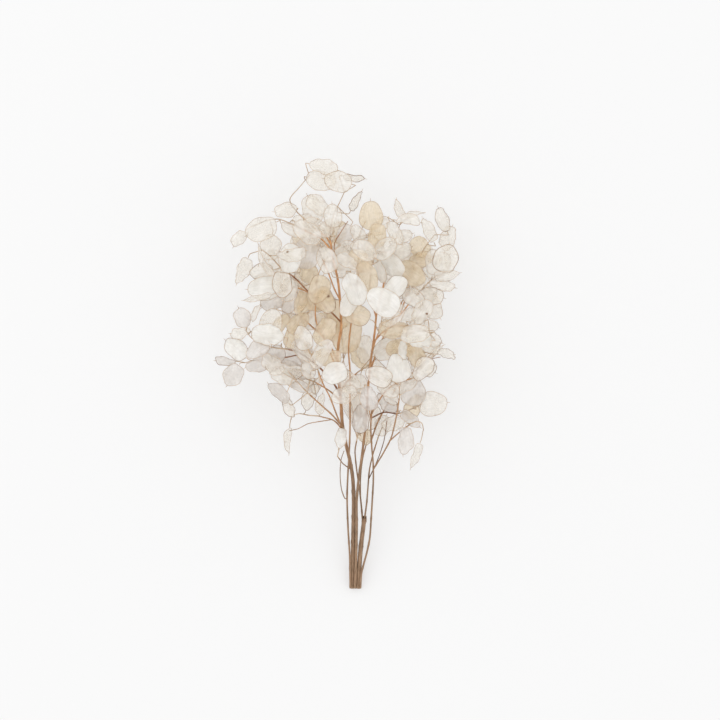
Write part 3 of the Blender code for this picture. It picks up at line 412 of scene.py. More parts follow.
def at_row(route, row):
    """The point where a tube's middle line crosses a row of the photograph."""
    y = (MIDDLE_ROW - row) * PIXEL
    for a, b in zip(route["points"], route["points"][1:]):
        if min(a.y, b.y) <= y <= max(a.y, b.y):
            return a.lerp(b, (y - a.y) / (b.y - a.y))
    raise ValueError(f"no point at row {row}")


def ring_frame(points, index):
    """Two directions across a tube at one of its points."""
    before = points[max(index - 1, 0)]
    after = points[min(index + 1, len(points) - 1)]
    along = (after - before).normalized()
    across = along.orthogonal().normalized()
    return across, along.cross(across)


def tube_guard(route, clear):
    """A six-sided hull of each stretch of a tube with clear air round it, for finding what it would meet."""
    corners = []
    faces = []
    for index in range(len(route["points"]) - 1):
        stretch = route["points"][index:index + 2]
        across, up = ring_frame(stretch, 0)
        first = len(corners)
        for end in range(2):
            reach = (route["radii"][index + end] + clear) / math.cos(math.pi / 6)
            for side in range(6):
                angle = side * math.pi / 3
                corners.append(
                    stretch[end] + across * math.cos(angle) * reach + up * math.sin(angle) * reach
                )
        for side in range(6):
            after = (side + 1) % 6
            faces.append((first + side, first + after, first + 6 + after, first + 6 + side))
        faces.append(tuple(range(first, first + 6)))
        faces.append(tuple(range(first + 6, first + 12)))
    return corners, faces


def pod_point(pod, angle, share=1.0):
    """A point of a pod's wall: an angle round it from its beak, and a share of the way out to its rim."""
    phase = pod["phase"]
    uneven = pod["uneven"] * (math.sin(2 * angle + phase) + 0.6 * math.sin(3 * angle + 2 * phase))
    across = math.copysign(abs(math.sin(angle)) ** POD_FULLNESS, math.sin(angle)) * share * (1 + uneven)
    along = math.cos(angle) * share
    curl = pod["curl"] * (along * along - POD_CURL_MEAN)
    fold = pod["fold"] * (across * across - POD_FOLD_MEAN)
    return Vector((
        across * pod["width"] / 2 * (1 + pod["skew"] * along),
        along * pod["length"] / 2,
        pod["length"] * (curl + fold + pod["twist"] * across * along),
    ))


def pod_rim(pod):
    """A pod's outline in its own plane: its beak at +Y, its stalk end at -Y."""
    count = 2 * POD_CORNERS
    rim = [pod_point(pod, 2 * math.pi * corner / count) for corner in range(count)]
    rim[0].y += BEAK
    return rim


def pod_guard(pod, clear):
    """A flat box round a pod's outline, for finding what it would meet."""
    rim = pod_rim(pod)
    middle = pod_point(pod, 0, 0)
    rise = Vector((0, 0, POD_THICKNESS / 2 + clear))
    grown = [point * POD_GUARD_GROWTH for point in rim]
    corners = [pod["matrix"] @ (point + side) for side in (rise, -rise) for point in grown]
    count = len(rim)
    corners.append(pod["matrix"] @ (middle + rise))
    corners.append(pod["matrix"] @ (middle - rise))
    faces = []
    for corner in range(count):
        after = (corner + 1) % count
        faces.append((corner, after, 2 * count))
        faces.append((count + after, count + corner, 2 * count + 1))
        faces.append((corner, count + corner, count + after, after))
    return corners, faces


class Room:
    """What has been laid out so far, each with a name, so that nothing new crosses it."""

    def __init__(self):
        self.held = []

    def solid(self, guard):
        corners, faces = guard
        low = Vector([min(c[axis] for c in corners) for axis in range(3)])
        high = Vector([max(c[axis] for c in corners) for axis in range(3)])
        return low, high, BVHTree.FromPolygons(corners, faces)

    def meets(self, guard, left_out=()):
        low, high, tree = self.solid(guard)
        for name, other_low, other_high, other in self.held:
            apart = any(low[axis] > other_high[axis] or other_low[axis] > high[axis] for axis in range(3))
            if not apart and name not in left_out and tree.overlap(other):
                return name
        return None

    def add(self, name, guard):
        self.held.append((name, *self.solid(guard)))


def pushed(first, route, trial):
    """A route's points after its first ones, pushed in depth more and more towards its end."""
    shift = PUSH * ((trial + 1) // 2) * (-1) ** trial
    points = list(first)
    for index, (column, row, depth) in enumerate(route):
        share = (index + 1) / len(route)
        points.append(place((column, row, depth + shift * share)))
    return points


def lay_branch(room, name, spec, tubes, owners):
    """A branch, pushed in depth until it passes every other stem clear."""
    parent, row, first_diameter, last_diameter, route = spec
    start = at_row(tubes[parent], row)
    owner = owners[parent]
    for trial in range(PUSHES):
        branch = tube(pushed([start], route, trial), first_diameter * MM, last_diameter * MM)
        guard = tube_guard(branch, SPRAY_CLEAR)
        if room.meets(guard, [owner]) is None:
            break
    room.add(owner, guard)
    tubes[name] = branch
    owners[name] = owner


def lay_rachis(room, name, parent, route, tubes):
    """A raceme's own stalk, from just past the end of what carries it."""
    end = tubes[parent]["points"][-1]
    along = (end - tubes[parent]["points"][-2]).normalized()
    start = end + along * JOINT_GAP
    lead = start + along * STRAIGHT_LEAD
    for trial in range(PUSHES):
        stalk = tube(pushed([start, lead], route, trial), RACHIS_DIAMETER, RACHIS_TIP_DIAMETER)
        beyond = {"points": stalk["points"][1:], "radii": stalk["radii"][1:]}
        if room.meets(tube_guard(beyond, SPRAY_CLEAR)) is None:
            break
    room.add(name + "_stalk", tube_guard(stalk, OWN_STALK_CLEAR))
    return stalk


def stalk_points(stalk):
    """Close points along a raceme's stalk, past its lead and short of its tip."""
    found = []
    for a, b in zip(stalk["points"][1:], stalk["points"][2:]):
        steps = max(2, round((b - a).length / STALK_POINTS_APART))
        found += [a.lerp(b, step / steps) for step in range(1, steps + 1)]
    return found[:-1]


def try_pod(spec, stalk, draw, reach):
    """One trial of a pod's place, turned and shifted more as its reach grows, with its own small stalk."""
    column, row, length, width, heading, lies = spec
    if reach > REACH_BEFORE_TURNING:
        heading += draw.choice((0, 180))
    rests = lies == "rests"
    shown = length * PIXEL
    pod = {
        "length": max(shown, POD_LEAST_LENGTH),
        "curl": draw.uniform(-1, 1) * POD_CURL,
        "fold": draw.uniform(-1, 1) * POD_FOLD,
        "twist": draw.uniform(-1, 1) * POD_TWIST,
        "skew": draw.uniform(*POD_SKEW),
        "uneven": draw.uniform(0.0, POD_UNEVEN),
        "phase": draw.uniform(0, 2 * math.pi),
        "seed": draw.random(),
    }
    pod["width"] = max(POD_SLENDERNESS * pod["length"] * draw.uniform(*POD_WIDTH_SPREAD), width * PIXEL)
    roll = math.acos(min(1.0, width * PIXEL / pod["width"])) * draw.choice((-1, 1))
    pitch = math.acos(min(1.0, shown / pod["length"])) * draw.choice((-1, 1))
    if rests:
        roll = pitch = 0.0
        pod["curl"] = pod["fold"] = pod["twist"] = NEARLY_FLAT
    roll += math.radians(draw.uniform(-1, 1) * MOST_ROLLED) * reach
    pitch += math.radians(draw.uniform(-1, 1) * MOST_PITCHED) * reach
    aim = math.radians(heading + draw.uniform(-1, 1) * MOST_AIMED * reach)
    column += draw.uniform(-1, 1) * MOST_MOVED * reach
    row += draw.uniform(-1, 1) * MOST_MOVED * reach
    turn = (
        Matrix.Rotation(aim - math.pi / 2, 4, "Z")
        @ Matrix.Rotation(pitch, 4, "X")
        @ Matrix.Rotation(roll, 4, "Y")
    )
    points = stalk_points(stalk)
    middle = place((column, row, 0))
    flat_root = middle - (turn @ Vector((0, pod["length"] / 2, 0)))
    near = min(points, key=lambda p: (p.xy - flat_root.xy).length)
    middle.z = near.z + (0 if rests else lies) * MM + draw.uniform(-1, 1) * MOST_RAISED * MM * reach
    pod["matrix"] = Matrix.Translation(middle) @ turn
    lowest = min((pod["matrix"] @ p).z for p in pod_rim(pod)) - POD_THICKNESS / 2
    if rests:
        pod["matrix"] = Matrix.Translation((0, 0, -lowest)) @ pod["matrix"]
    elif lowest < LEAST_HEIGHT:
        pod["matrix"] = Matrix.Translation((0, 0, RAISED_HEIGHT - lowest)) @ pod["matrix"]
    tip_way = way_to_tip(pod)
    root = pod["matrix"] @ pod_point(pod, math.pi)

    def cost(point):
        way = root - point
        return way.length * (PEDICEL_TURN_WEIGHT - way.normalized().dot(tip_way))

    start = min(points, key=cost)
    route = [start, root]
    way = root - start
    if way.length > PEDICEL_LEAST_BENT or way.normalized().dot(tip_way) < STRAIGHT_ENOUGH:
        route.insert(1, root - tip_way * min(PEDICEL_BEND_SHARE * way.length, PEDICEL_BEND_MOST))
    pod["stalk"] = tube(route, PEDICEL_DIAMETER, PEDICEL_DIAMETER)
    return pod


def way_to_tip(pod):
    """The direction from a pod's stalk end to its beak."""
    return (pod["matrix"].to_3x3() @ Vector((0, 1, 0))).normalized()


def comes_cleanly(pod):
    """Whether a pod's small stalk reaches it without a sharp turn and without crossing the pod."""
    points = pod["stalk"]["points"]
    if (points[1] - points[0]).normalized().dot(way_to_tip(pod)) < SHARPEST_TURN:
        return False
    first = points[:2] if len(points) > 2 else [points[0], points[0].lerp(points[1], PEDICEL_FREE_SHARE)]
    own = Room()
    own.add("pod", pod_guard(pod, OWN_POD_CLEAR))
    return own.meets(tube_guard(tube(first, PEDICEL_DIAMETER, PEDICEL_DIAMETER), OWN_STALK_CLEAR)) is None


def lay_pod(room, name, number, spec, stalk):
    """A pod near the photograph's place and clear of everything before it, or None without room."""
    draw = random.Random(f"{SEED} {name} {number}")
    for trial in range(POD_TRIALS):
        pod = try_pod(spec, stalk, draw, min(1.0, trial / TRIALS_TO_FULL_REACH))
        guard = pod_guard(pod, POD_CLEAR)
        small = tube_guard(pod["stalk"], SPRAY_CLEAR)
        if comes_cleanly(pod) and room.meets(guard) is None and room.meets(small, [name + "_stalk"]) is None:
            room.add(f"{name}_pod", guard)
            room.add(name + "_stalk", tube_guard(pod["stalk"], OWN_STALK_CLEAR))
            return pod
    return None


def further_pods(name, route):
    """Pods that fill a spray inside the head, where the photograph shows only layer behind layer."""
    draw = random.Random(f"{SEED} further {name}")
    found = []
    while len(found) < FURTHER_PODS:
        column, row, depth = draw.choice(route)
        way = draw.uniform(0, 2 * math.pi)
        reach = draw.uniform(*FURTHER_REACH)
        column += reach * math.cos(way)
        row -= reach * math.sin(way)
        across = (column - HEAD_COLUMN) / HEAD_HALF_WIDTH
        down = (row - HEAD_ROW) / HEAD_HALF_HEIGHT
        length = draw.uniform(*FURTHER_LENGTH)
        width = length * draw.uniform(*FURTHER_WIDTH)
        if math.hypot(across, down) < 1:
            turned = math.degrees(way) + draw.uniform(*FURTHER_AIM)
            found.append((column, row, length, width, turned, draw.uniform(*FURTHER_DEPTH)))
        elif draw.random() < GIVE_UP_SHARE:
            break
    return found


def layout():
    """Every tube and pod of the bunch, in the photograph's own place."""
    room = Room()
    tubes = {}
    owners = {}
    for name, (first_diameter, last_diameter, route) in TRUNKS.items():
        tubes[name] = tube([place(point) for point in route], first_diameter * MM, last_diameter * MM)
        owners[name] = name
        room.add(name, tube_guard(tubes[name], TUBE_CLEAR))
    for name, spec in BRANCHES.items():
        lay_branch(room, name, spec, tubes, owners)
    sprays = {}
    for name, (parent, route, pods) in SPRAYS.items():
        sprays[name] = {"stalk": lay_rachis(room, name, parent, route, tubes), "pods": []}
    read = [(name, number, pod) for name in SPRAYS for number, pod in enumerate(SPRAYS[name][2])]
    read.sort(key=lambda item: item[2][5] != "rests")
    for name, (parent, route, pods) in SPRAYS.items():
        read += [(name, len(pods) + number, pod) for number, pod in enumerate(further_pods(name, route))]
    for name, number, spec in read:
        pod = lay_pod(room, name, number, spec, sprays[name]["stalk"])
        if pod:
            pod["number"] = number
            sprays[name]["pods"].append(pod)
    stems = {name: [tubes[other] for other in tubes if owners[other] == name] for name in TRUNKS}
    return stems, sprays


def middle_of(stems, sprays):
    """The middle of the bunch's box on the surface, and its lowest point."""
    points = []
    for tubes in stems.values():
        for route in tubes:
            points += zip(route["points"], route["radii"])
    for spray in sprays.values():
        for pod in spray["pods"]:
            points += [(pod["matrix"] @ corner, POD_THICKNESS / 2) for corner in pod_rim(pod)]
    low = [min(point[axis] - reach for point, reach in points) for axis in range(3)]
    high = [max(point[axis] + reach for point, reach in points) for axis in range(3)]
    return Vector(((low[0] + high[0]) / 2, (low[1] + high[1]) / 2, low[2]))


# Looks

FLOOR_SIZE = 6.0
FLOOR_LEVEL = -1.6 * MM
FLOOR_PAINT = 0.45
FLOOR_GLOW = 0.428
CAMERA_HEIGHT = 6.0
PHOTO_PIXELS = 720
SENSOR = 36.0
VIEW_LEVEL = 80 * MM
SKY_STRENGTH = 1.12
KEY_PLACE = (-2.2, 1.9, 4.2)
KEY_AIM = (0, 0.05, 0)
KEY_SIZE = 4.0
KEY_POWER = 22

# Stems
STEP = 2.4 * MM
STEM_SIDES = 12
BRANCH_SIDES = 9
STALK_SIDES = 8
TWIG_SIDES = 7
TWIG_RADIUS = 0.5 * MM
TWIG_END_RADIUS = 0.42 * MM
NODE_SPACING = 34 * MM
NODE_SWELL = 0.22
NODE_REACH = 2.2 * MM
RIDGES = 5
RIDGE_HEIGHT = 0.035
UNEVENNESS = 0.03
ANY_PHASE = 6.28
UV_LENGTH = 0.01
UV_CUT = 0.002

# The snapped stem breaks off slanting, so that its pith hole shows from above, with painted shade inside it
BREAK_SIDES = 16
BREAK_RIDGE = 0.02
BREAK_SLANT = 3.0 * MM
BREAK_RAGGED = 0.6
HOLLOW_SHARE = 0.72
HOLLOW_DEEP_SHARE = 0.5
HOLLOW_FLOOR = 9.0 * MM

# Pods
SECTORS = 44
RINGS = (0.0, 0.2, 0.4, 0.58, 0.74, 0.87, 0.95, 1.0)
WALL = 0.24 * MM
RIM_RADIUS = 0.25 * MM
RIM_SIDES = 6
STYLE_LENGTH = 4.0 * MM
STYLE_RADII = (0.42 * MM, 0.24 * MM, 0.13 * MM)
STYLE_SIDES = 5
STYLE_LEAN = 1.2
FUNICLE_RADIUS = 0.16 * MM
FUNICLE_SIDES = 4
FUNICLE_COUNTS = (2, 3, 3, 4)
FUNICLE_ANGLE = (0.5, 2.4)
FUNICLE_REACH = (0.55, 0.72)
SEED_SHARE = 0.004
SEED_SIZE = 1.8 * MM
SEED_WIDTH_SHARE = 0.85
SEED_THICKNESS = 0.55 * MM
SEED_RISE = 0.5 * MM

# Folds, dents and nicks of a pod's wall in millimetres, of which one seen edge on keeps only the least share
CREASE = (0.4, 1.7)
CREASE_COUNTS = (5, 6, 8, 9)
CREASE_LEAST_SHARE = 0.15
DENT = (0.4, 1.5)
DENT_LEAST_SHARE = 0.2
NIBBLE = (0.3, 1.4)

# Branches that the photo shows dark brown
DARK_BRANCHES = (
    "main_far_left", "main_left_low", "main_left_end", "main_fork", "left_upper_twig", "right_outer_twig",
    "right_low", "broken_twig",
)

# Painted light through layers: how far from the middle of the head, in pixels, pods are painted tan rather
# than white, for the warm light that passes through many layers of pods
PAINTED_LAYER_LIGHT_COLUMN = 348.0
PAINTED_LAYER_LIGHT_ROW = 312.0
PAINTED_LAYER_LIGHT_REACH = 46.0
PAINTED_LAYER_LIGHT_REACH_SPREAD = (0.6, 1.2)

# Rims: how many are dark, and how thick a pale and a dark one are
DARK_RIM_SHARE = 0.3
RIM_THIN = 0.8
RIM_THICK = 1.15
DARK_RIM_THICK = 1.5

# Wood: its dark, middle and light streaks, then how its colour changes from the cut ends to the head
WOODS = {
    "dry_stem": ((0.16, 0.095, 0.055), (0.30, 0.195, 0.12), (0.42, 0.30, 0.20)),
    "dark_stem": ((0.07, 0.035, 0.022), (0.14, 0.075, 0.045), (0.24, 0.14, 0.085)),
}
WOOD_TINTS = (
    (0.0, (1.06, 1.03, 1.02)),
    (0.3, (0.94, 0.90, 0.88)),
    (0.55, (1.75, 1.4, 1.08)),
    (1.0, (2.15, 1.7, 1.28)),
)
WOOD_LOWEST = -0.28
WOOD_HIGHEST = 0.24

# Paper: tint, shade, how clear it is, how much light it lets through, and the tint of what shows through
PAPERS = {
    "pod_thin": ((0.96, 0.95, 0.93), (0.86, 0.83, 0.78), 0.66, 0.35, (0.985, 0.97, 0.945)),
    "pod_white": ((0.975, 0.97, 0.955), (0.91, 0.895, 0.86), 0.36, 0.30, (0.985, 0.98, 0.96)),
    # The tan paper is partly the pods' own colour and partly painted warm light through layers of pods
    "pod_tan": ((0.93, 0.865, 0.765), (0.85, 0.755, 0.61), 0.60, 0.40, (0.965, 0.925, 0.85)),
    "pod_grey": ((0.91, 0.89, 0.87), (0.76, 0.72, 0.685), 0.56, 0.35, (0.96, 0.945, 0.93)),
}
VEIN_COLOUR = (0.55, 0.45, 0.34)

# Plain woody finishes: the colours of their patches
RIMS = {
    # The pith hole's near black is painted shade inside the hollow
    "pith_hole_painted_shade": ((0.010, 0.006, 0.004), (0.020, 0.012, 0.008)),
    "pod_rim": ((0.38, 0.26, 0.16), (0.60, 0.46, 0.33)),
    "pod_rim_dark": ((0.22, 0.125, 0.07), (0.40, 0.27, 0.165)),
    "seed": ((0.20, 0.12, 0.08), (0.30, 0.20, 0.13)),
}

# The finishes of a stem and of a spray, in the order of their slots
STEM_FINISHES = ("dry_stem", "pith_hole_painted_shade", "dark_stem")
SPRAY_FINISHES = ("pod_thin", "pod_white", "pod_tan", "pod_rim", "pod_rim_dark", "seed", "pod_grey")
WOOD, PAINTED_SHADE_HOLE, DARK_WOOD = range(len(STEM_FINISHES))
THIN, WHITE, TAN_AND_LAYER_LIGHT, RIM, DARK_RIM, SEED_COAT, ASHEN = range(len(SPRAY_FINISHES))

# Sockets of a colour mix, several of which share a name
MIX_SHARE = 0
MIX_FIRST = 6
MIX_SECOND = 7
MIX_RESULT = 2

# Pods that the photo shows opaque white, and those that it shows tan or grey, by spray and number
WHITE_PODS = {
    "spray_left_low": (0,), "spray_front_right": (0, 1), "spray_right_middle": (2, 4),
    "spray_centre": (1,), "spray_far_left": (0,), "spray_middle": (0, 2), "spray_left_side": (0, 1),
    "spray_left_end": (0,), "spray_right_bow": (0,), "spray_left_middle": (0,), "spray_inner_right": (2,),
    "spray_stub": (0,),
}
# The tan ones are partly their own colour and partly painted warm light through layers of pods in the head
TAN_AND_LAYER_LIGHT_PODS = {
    "spray_front": (0, 1, 2), "spray_middle_up": (0, 1), "spray_right_top": (0, 1, 2),
    "spray_middle_high": (0, 1), "spray_left_stem": (1,), "spray_middle_left": (1, 2),
    "spray_centre": (3,), "spray_right_outer": (1, 4), "spray_broken_tip": (0,), "spray_right_low": (2,),
    "spray_under_top": (0, 1), "spray_under": (1, 3),
}
GREY_PODS = {
    "spray_left_end": (1, 2, 3, 4), "spray_left_low": (1, 4, 5), "spray_left_middle": (1, 3),
    "spray_low_left": (0, 1), "spray_low_inner": (0, 1), "spray_right_low": (1, 3, 4),
    "spray_right_inner": (0,), "spray_broken_left": (0,), "spray_right_drop": (0,), "spray_top": (3,),
    "spray_far_left": (4,),
}


def shader_tree(name):
    """A new material with an empty tree and its output."""
    made = bpy.data.materials.new(name)
    made.use_nodes = True
    tree = made.node_tree
    tree.nodes.clear()
    output = tree.nodes.new("ShaderNodeOutputMaterial")
    return made, tree, output


def node(tree, kind, **values):
    """A node with its properties set by name, and its inputs by a value or by the socket that feeds them."""
    made = tree.nodes.new(kind)
    for key, value in values.items():
        label = key.replace("_", " ")
        if label not in made.inputs:
            setattr(made, key, value)
        elif isinstance(value, bpy.types.NodeSocket):
            tree.links.new(value, made.inputs[label])
        else:
            made.inputs[label].default_value = value
    return made


def ramp(tree, source, stops):
    """A colour ramp over a value."""
    made = tree.nodes.new("ShaderNodeValToRGB")
    elements = made.color_ramp.elements
    elements[0].position, elements[0].color = stops[0][0], (*stops[0][1], 1)
    elements[1].position, elements[1].color = stops[-1][0], (*stops[-1][1], 1)
    for position, colour in stops[1:-1]:
        element = elements.new(position)
        element.color = (*colour, 1)
    tree.links.new(source, made.inputs["Fac"])
    return made.outputs["Color"]


def grey(value):
    """A grey for a ramp that makes a plain value."""
    return (value, value, value)


def noise(tree, vector, scale, stretch=(1, 1, 1), detail=4.0, distortion=0.0):
    """A noise over a stretched set of coordinates."""
    over = node(tree, "ShaderNodeMapping", Scale=stretch, Vector=vector).outputs["Vector"]
    made = node(tree, "ShaderNodeTexNoise", Scale=scale, Detail=detail, Distortion=distortion, Vector=over)
    return made.outputs["Fac"]


def blend(tree, share, first, second, mode="MIX"):
    """A mix of two colours, each a socket or a plain colour."""
    made = node(tree, "ShaderNodeMix", data_type="RGBA", blend_type=mode)
    for value, place_of in ((share, MIX_SHARE), (first, MIX_FIRST), (second, MIX_SECOND)):
        if isinstance(value, bpy.types.NodeSocket):
            tree.links.new(value, made.inputs[place_of])
        elif isinstance(value, (int, float)):
            made.inputs[place_of].default_value = value
        else:
            made.inputs[place_of].default_value = (*value, 1)
    return made.outputs[MIX_RESULT]


def bump(tree, height, distance, strength):
    """The normals of a surface raised by a height."""
    made = node(tree, "ShaderNodeBump", Distance=distance, Strength=strength, Height=height)
    return made.outputs["Normal"]


def mix_shaders(tree, share, first, second):
    """A surface with a share of the second shader and the rest of the first."""
    made = node(tree, "ShaderNodeMixShader", Fac=share)
    tree.links.new(first, made.inputs[1])
    tree.links.new(second, made.inputs[2])
    return made.outputs["Shader"]


def wood_material(name, dark, middle, light):
    """Dry stem: fine streaks along it, greyer low down, paler and redder up in the head."""
    made, tree, output = shader_tree(name)
    uv = tree.nodes.new("ShaderNodeUVMap").outputs["UV"]
    place_in = tree.nodes.new("ShaderNodeTexCoord").outputs["Object"]
    streaks = noise(tree, uv, 3.2, (5.0, 0.35, 1.0), 6.0, 0.2)
    blotches = noise(tree, place_in, 60.0)
    colour = ramp(tree, streaks, ((0.28, dark), (0.5, middle), (0.74, light)))
    worn = ramp(tree, blotches, ((0.35, grey(0.78)), (0.65, grey(1.12))))
    colour = blend(tree, 0.75, colour, worn, "MULTIPLY")
    along = node(tree, "ShaderNodeSeparateXYZ", Vector=place_in).outputs["Y"]
    reach = node(tree, "ShaderNodeMapRange", From_Min=WOOD_LOWEST, From_Max=WOOD_HIGHEST, Value=along)
    colour = blend(tree, 1.0, colour, ramp(tree, reach.outputs["Result"], WOOD_TINTS), "MULTIPLY")
    shader = node(
        tree, "ShaderNodeBsdfPrincipled", Base_Color=colour, Specular_IOR_Level=0.28,
        Roughness=ramp(tree, streaks, ((0.3, grey(0.78)), (0.7, grey(0.58)))),
        Normal=bump(tree, streaks, 0.0004, 0.7),
    )
    tree.links.new(shader.outputs["BSDF"], output.inputs["Surface"])
    return made


def paper_material(name, tint, shade, clear, glow, window_tint):
    """Papery septum: satin, letting light through, clearer in patches, with veins and streaks along it."""
    made, tree, output = shader_tree(name)
    uv = tree.nodes.new("ShaderNodeUVMap").outputs["UV"]
    streaks = noise(tree, uv, 1.9, (4.6, 0.45, 1.0), 6.0, 0.7)
    clouds = noise(tree, uv, 0.6, (1.0, 1.0, 1.0), 2.0, 0.4)
    net = node(tree, "ShaderNodeTexVoronoi", feature="DISTANCE_TO_EDGE", Scale=4.0, Vector=uv)
    veins = ramp(tree, net.outputs["Distance"], ((0.0, grey(1.0)), (0.05, grey(0.0))))
    colour = ramp(tree, clouds, ((0.34, shade), (0.62, tint)))
    lines = ramp(tree, streaks, ((0.34, grey(0.91)), (0.62, grey(1.03))))
    colour = blend(tree, 0.55, colour, lines, "MULTIPLY")
    colour = blend(tree, 0.05, colour, blend(tree, veins, tint, VEIN_COLOUR))
    normal = bump(tree, blend(tree, 0.4, streaks, clouds), 0.0014, 0.9)
    shell = node(
        tree, "ShaderNodeBsdfPrincipled", Base_Color=colour, Specular_IOR_Level=0.4, Normal=normal,
        Roughness=ramp(tree, streaks, ((0.3, grey(0.5)), (0.7, grey(0.3)))),
    )
    through = node(tree, "ShaderNodeBsdfTranslucent", Color=colour, Normal=normal)
    body = mix_shaders(tree, glow, shell.outputs["BSDF"], through.outputs["BSDF"])
    window = node(tree, "ShaderNodeBsdfTransparent", Color=(*window_tint, 1))
    open_share = blend(tree, 0.22, clouds, streaks)
    cover = ramp(tree, open_share, ((0.36, grey(max(0.0, 1 - clear * 1.2))), (0.62, grey(1 - clear * 0.8))))
    mixed = mix_shaders(tree, cover, window.outputs["BSDF"], body)
    tree.links.new(mixed, output.inputs["Surface"])
    return made


def rim_material(name, first, second):
    """A plain dry finish in two colours: pod rims with their threads and beaks, seeds, and the painted shade
    inside the pith hole.
    """
    made, tree, output = shader_tree(name)
    place_in = tree.nodes.new("ShaderNodeTexCoord").outputs["Object"]
    patches = noise(tree, place_in, 90.0, (1, 1, 1), 3.0)
    shader = node(
        tree, "ShaderNodeBsdfPrincipled", Roughness=0.6, Specular_IOR_Level=0.3,
        Base_Color=ramp(tree, patches, ((0.36, first), (0.64, second))),
        Normal=bump(tree, patches, 0.0002, 0.5),
    )
    tree.links.new(shader.outputs["BSDF"], output.inputs["Surface"])
    return made


def floor_material():
    """Plain pale studio floor, evenly lit from below like a light table, so that shadows stay faint."""
    made, tree, output = shader_tree("pale_floor")
    paint = node(tree, "ShaderNodeBsdfDiffuse", Color=(FLOOR_PAINT, FLOOR_PAINT, FLOOR_PAINT, 1))
    lit = node(tree, "ShaderNodeEmission", Color=(1, 1, 1, 1), Strength=FLOOR_GLOW)
    both = tree.nodes.new("ShaderNodeAddShader")
    tree.links.new(paint.outputs["BSDF"], both.inputs[0])
    tree.links.new(lit.outputs["Emission"], both.inputs[1])
    tree.links.new(both.outputs["Shader"], output.inputs["Surface"])
    return made


def curve_through(points, radii, step):
    """Close points and radii along a smooth curve through a route's points."""
    found = []
    last = len(points) - 1
    for index in range(last):
        a = points[index]
        b = points[index + 1]
        before = points[index - 1] if index else a + (a - b)
        after = points[index + 2] if index + 2 <= last else b + (b - a)
        pull = min(1.0, (b - a).length / max((a - before).length, 1e-6))
        push = min(1.0, (b - a).length / max((after - b).length, 1e-6))
        leave = (b - a) * 0.5 + (a - before) * 0.5 * pull
        arrive = (b - a) * 0.5 + (after - b) * 0.5 * push
        steps = max(1, round((b - a).length / step))
        for number in range(steps):
            t = number / steps
            spot = (
                a * (2 * t ** 3 - 3 * t ** 2 + 1)
                + leave * (t ** 3 - 2 * t ** 2 + t)
                + b * (3 * t ** 2 - 2 * t ** 3)
                + arrive * (t ** 3 - t ** 2)
            )
            found.append((spot, radii[index] + (radii[index + 1] - radii[index]) * t))
    found.append((points[-1], radii[-1]))
    return found


def carried_frames(spots):
    """Directions across a curve at each of its points, without twist."""
    frames = []
    across = None
    for index in range(len(spots)):
        before = spots[max(index - 1, 0)]
        after = spots[min(index + 1, len(spots) - 1)]
        along = (after - before).normalized()
        if across is None:
            across = along.orthogonal().normalized()
        across = (across - along * across.dot(along)).normalized()
        frames.append((across, along.cross(across)))
    return frames


def new_face(work, corners, slot, smooth=True):
    """A new face of the mesh work in a finish's slot."""
    face = work.faces.new(corners)
    face.material_index = slot
    face.smooth = smooth
    return face


def sweep(work, uv, route, sides, slot, draw, nodes=False, open_end=False, ridge=RIDGE_HEIGHT):
    """A tube along a route with ridges and, on a stem, swollen nodes."""
    samples = curve_through(route["points"], route["radii"], STEP)
    frames = carried_frames([spot for spot, radius in samples])
    phase = draw.uniform(0, ANY_PHASE)
    first_node = draw.uniform(0.2, 1.0) * NODE_SPACING
    rings = []
    reached = 0.0
    lengths = []
    for index, (spot, radius) in enumerate(samples):
        if index:
            reached += (spot - samples[index - 1][0]).length
        lengths.append(reached)
        swell = 1.0 + draw.uniform(-UNEVENNESS, UNEVENNESS)
        if nodes:
            away = (reached - first_node + NODE_SPACING / 2) % NODE_SPACING - NODE_SPACING / 2
            swell += NODE_SWELL * math.exp(-(away / NODE_REACH) ** 2)
        across, up = frames[index]
        ring = []
        for side in range(sides):
            angle = 2 * math.pi * side / sides
            reach = radius * (swell + ridge * math.cos(RIDGES * angle + phase))
            corner = spot + across * math.cos(angle) * reach + up * math.sin(angle) * reach
            ring.append(work.verts.new(corner))
        rings.append(ring)
    for index, (ring, next_ring) in enumerate(zip(rings, rings[1:])):
        for side in range(sides):
            after = (side + 1) % sides
            face = new_face(work, (ring[side], ring[after], next_ring[after], next_ring[side]), slot)
            corners = ((side, index), (side + 1, index), (side + 1, index + 1), (side, index + 1))
            for loop, (across_at, along_at) in zip(face.loops, corners):
                loop[uv].uv = (across_at / sides + phase, lengths[along_at] / UV_LENGTH)
    for ring in [rings[0][::-1]] + ([] if open_end else [rings[-1]]):
        for loop in new_face(work, ring, slot, False).loops:
            loop[uv].uv = (loop.vert.co.x / UV_CUT, loop.vert.co.z / UV_CUT)
    return rings


def object_from(work, name, materials):
    """A new object from the finished mesh work."""
    mesh = bpy.data.meshes.new(name)
    bmesh.ops.recalc_face_normals(work, faces=work.faces)
    work.to_mesh(mesh)
    work.free()
    for finish in materials:
        mesh.materials.append(finish)
    made = bpy.data.objects.new(name, mesh)
    bpy.context.scene.collection.objects.link(made)
    return made


def outline_point(pod, angle, share=1.0):
    """A point of a pod's wall with its folds, dents and nicks, which the pod's own seed moves round it."""
    seed = pod["seed"]
    point = pod_point(pod, angle, share)
    folds = pod["crease"] * share ** 2.5 * math.sin(pod["creases"] * angle + seed * 20)
    folds += pod["crease"] * 0.35 * share ** 4 * math.sin((pod["creases"] * 2 + 1) * angle + seed * 47)
    across = math.sin(angle) * share
    along = math.cos(angle) * share
    dents = pod["dent"] * math.sin(across * 5 + seed * 31) * math.cos(along * 4.2 + seed * 17)
    point.z += (folds + dents) * MM
    inward = pod["nibble"] * share ** 6 * (0.5 + 0.5 * math.sin(5 * angle + seed * 70)) * MM
    length = math.hypot(point.x, point.y)
    if length > 0:
        point.x -= point.x / length * inward
        point.y -= point.y / length * inward
    return point


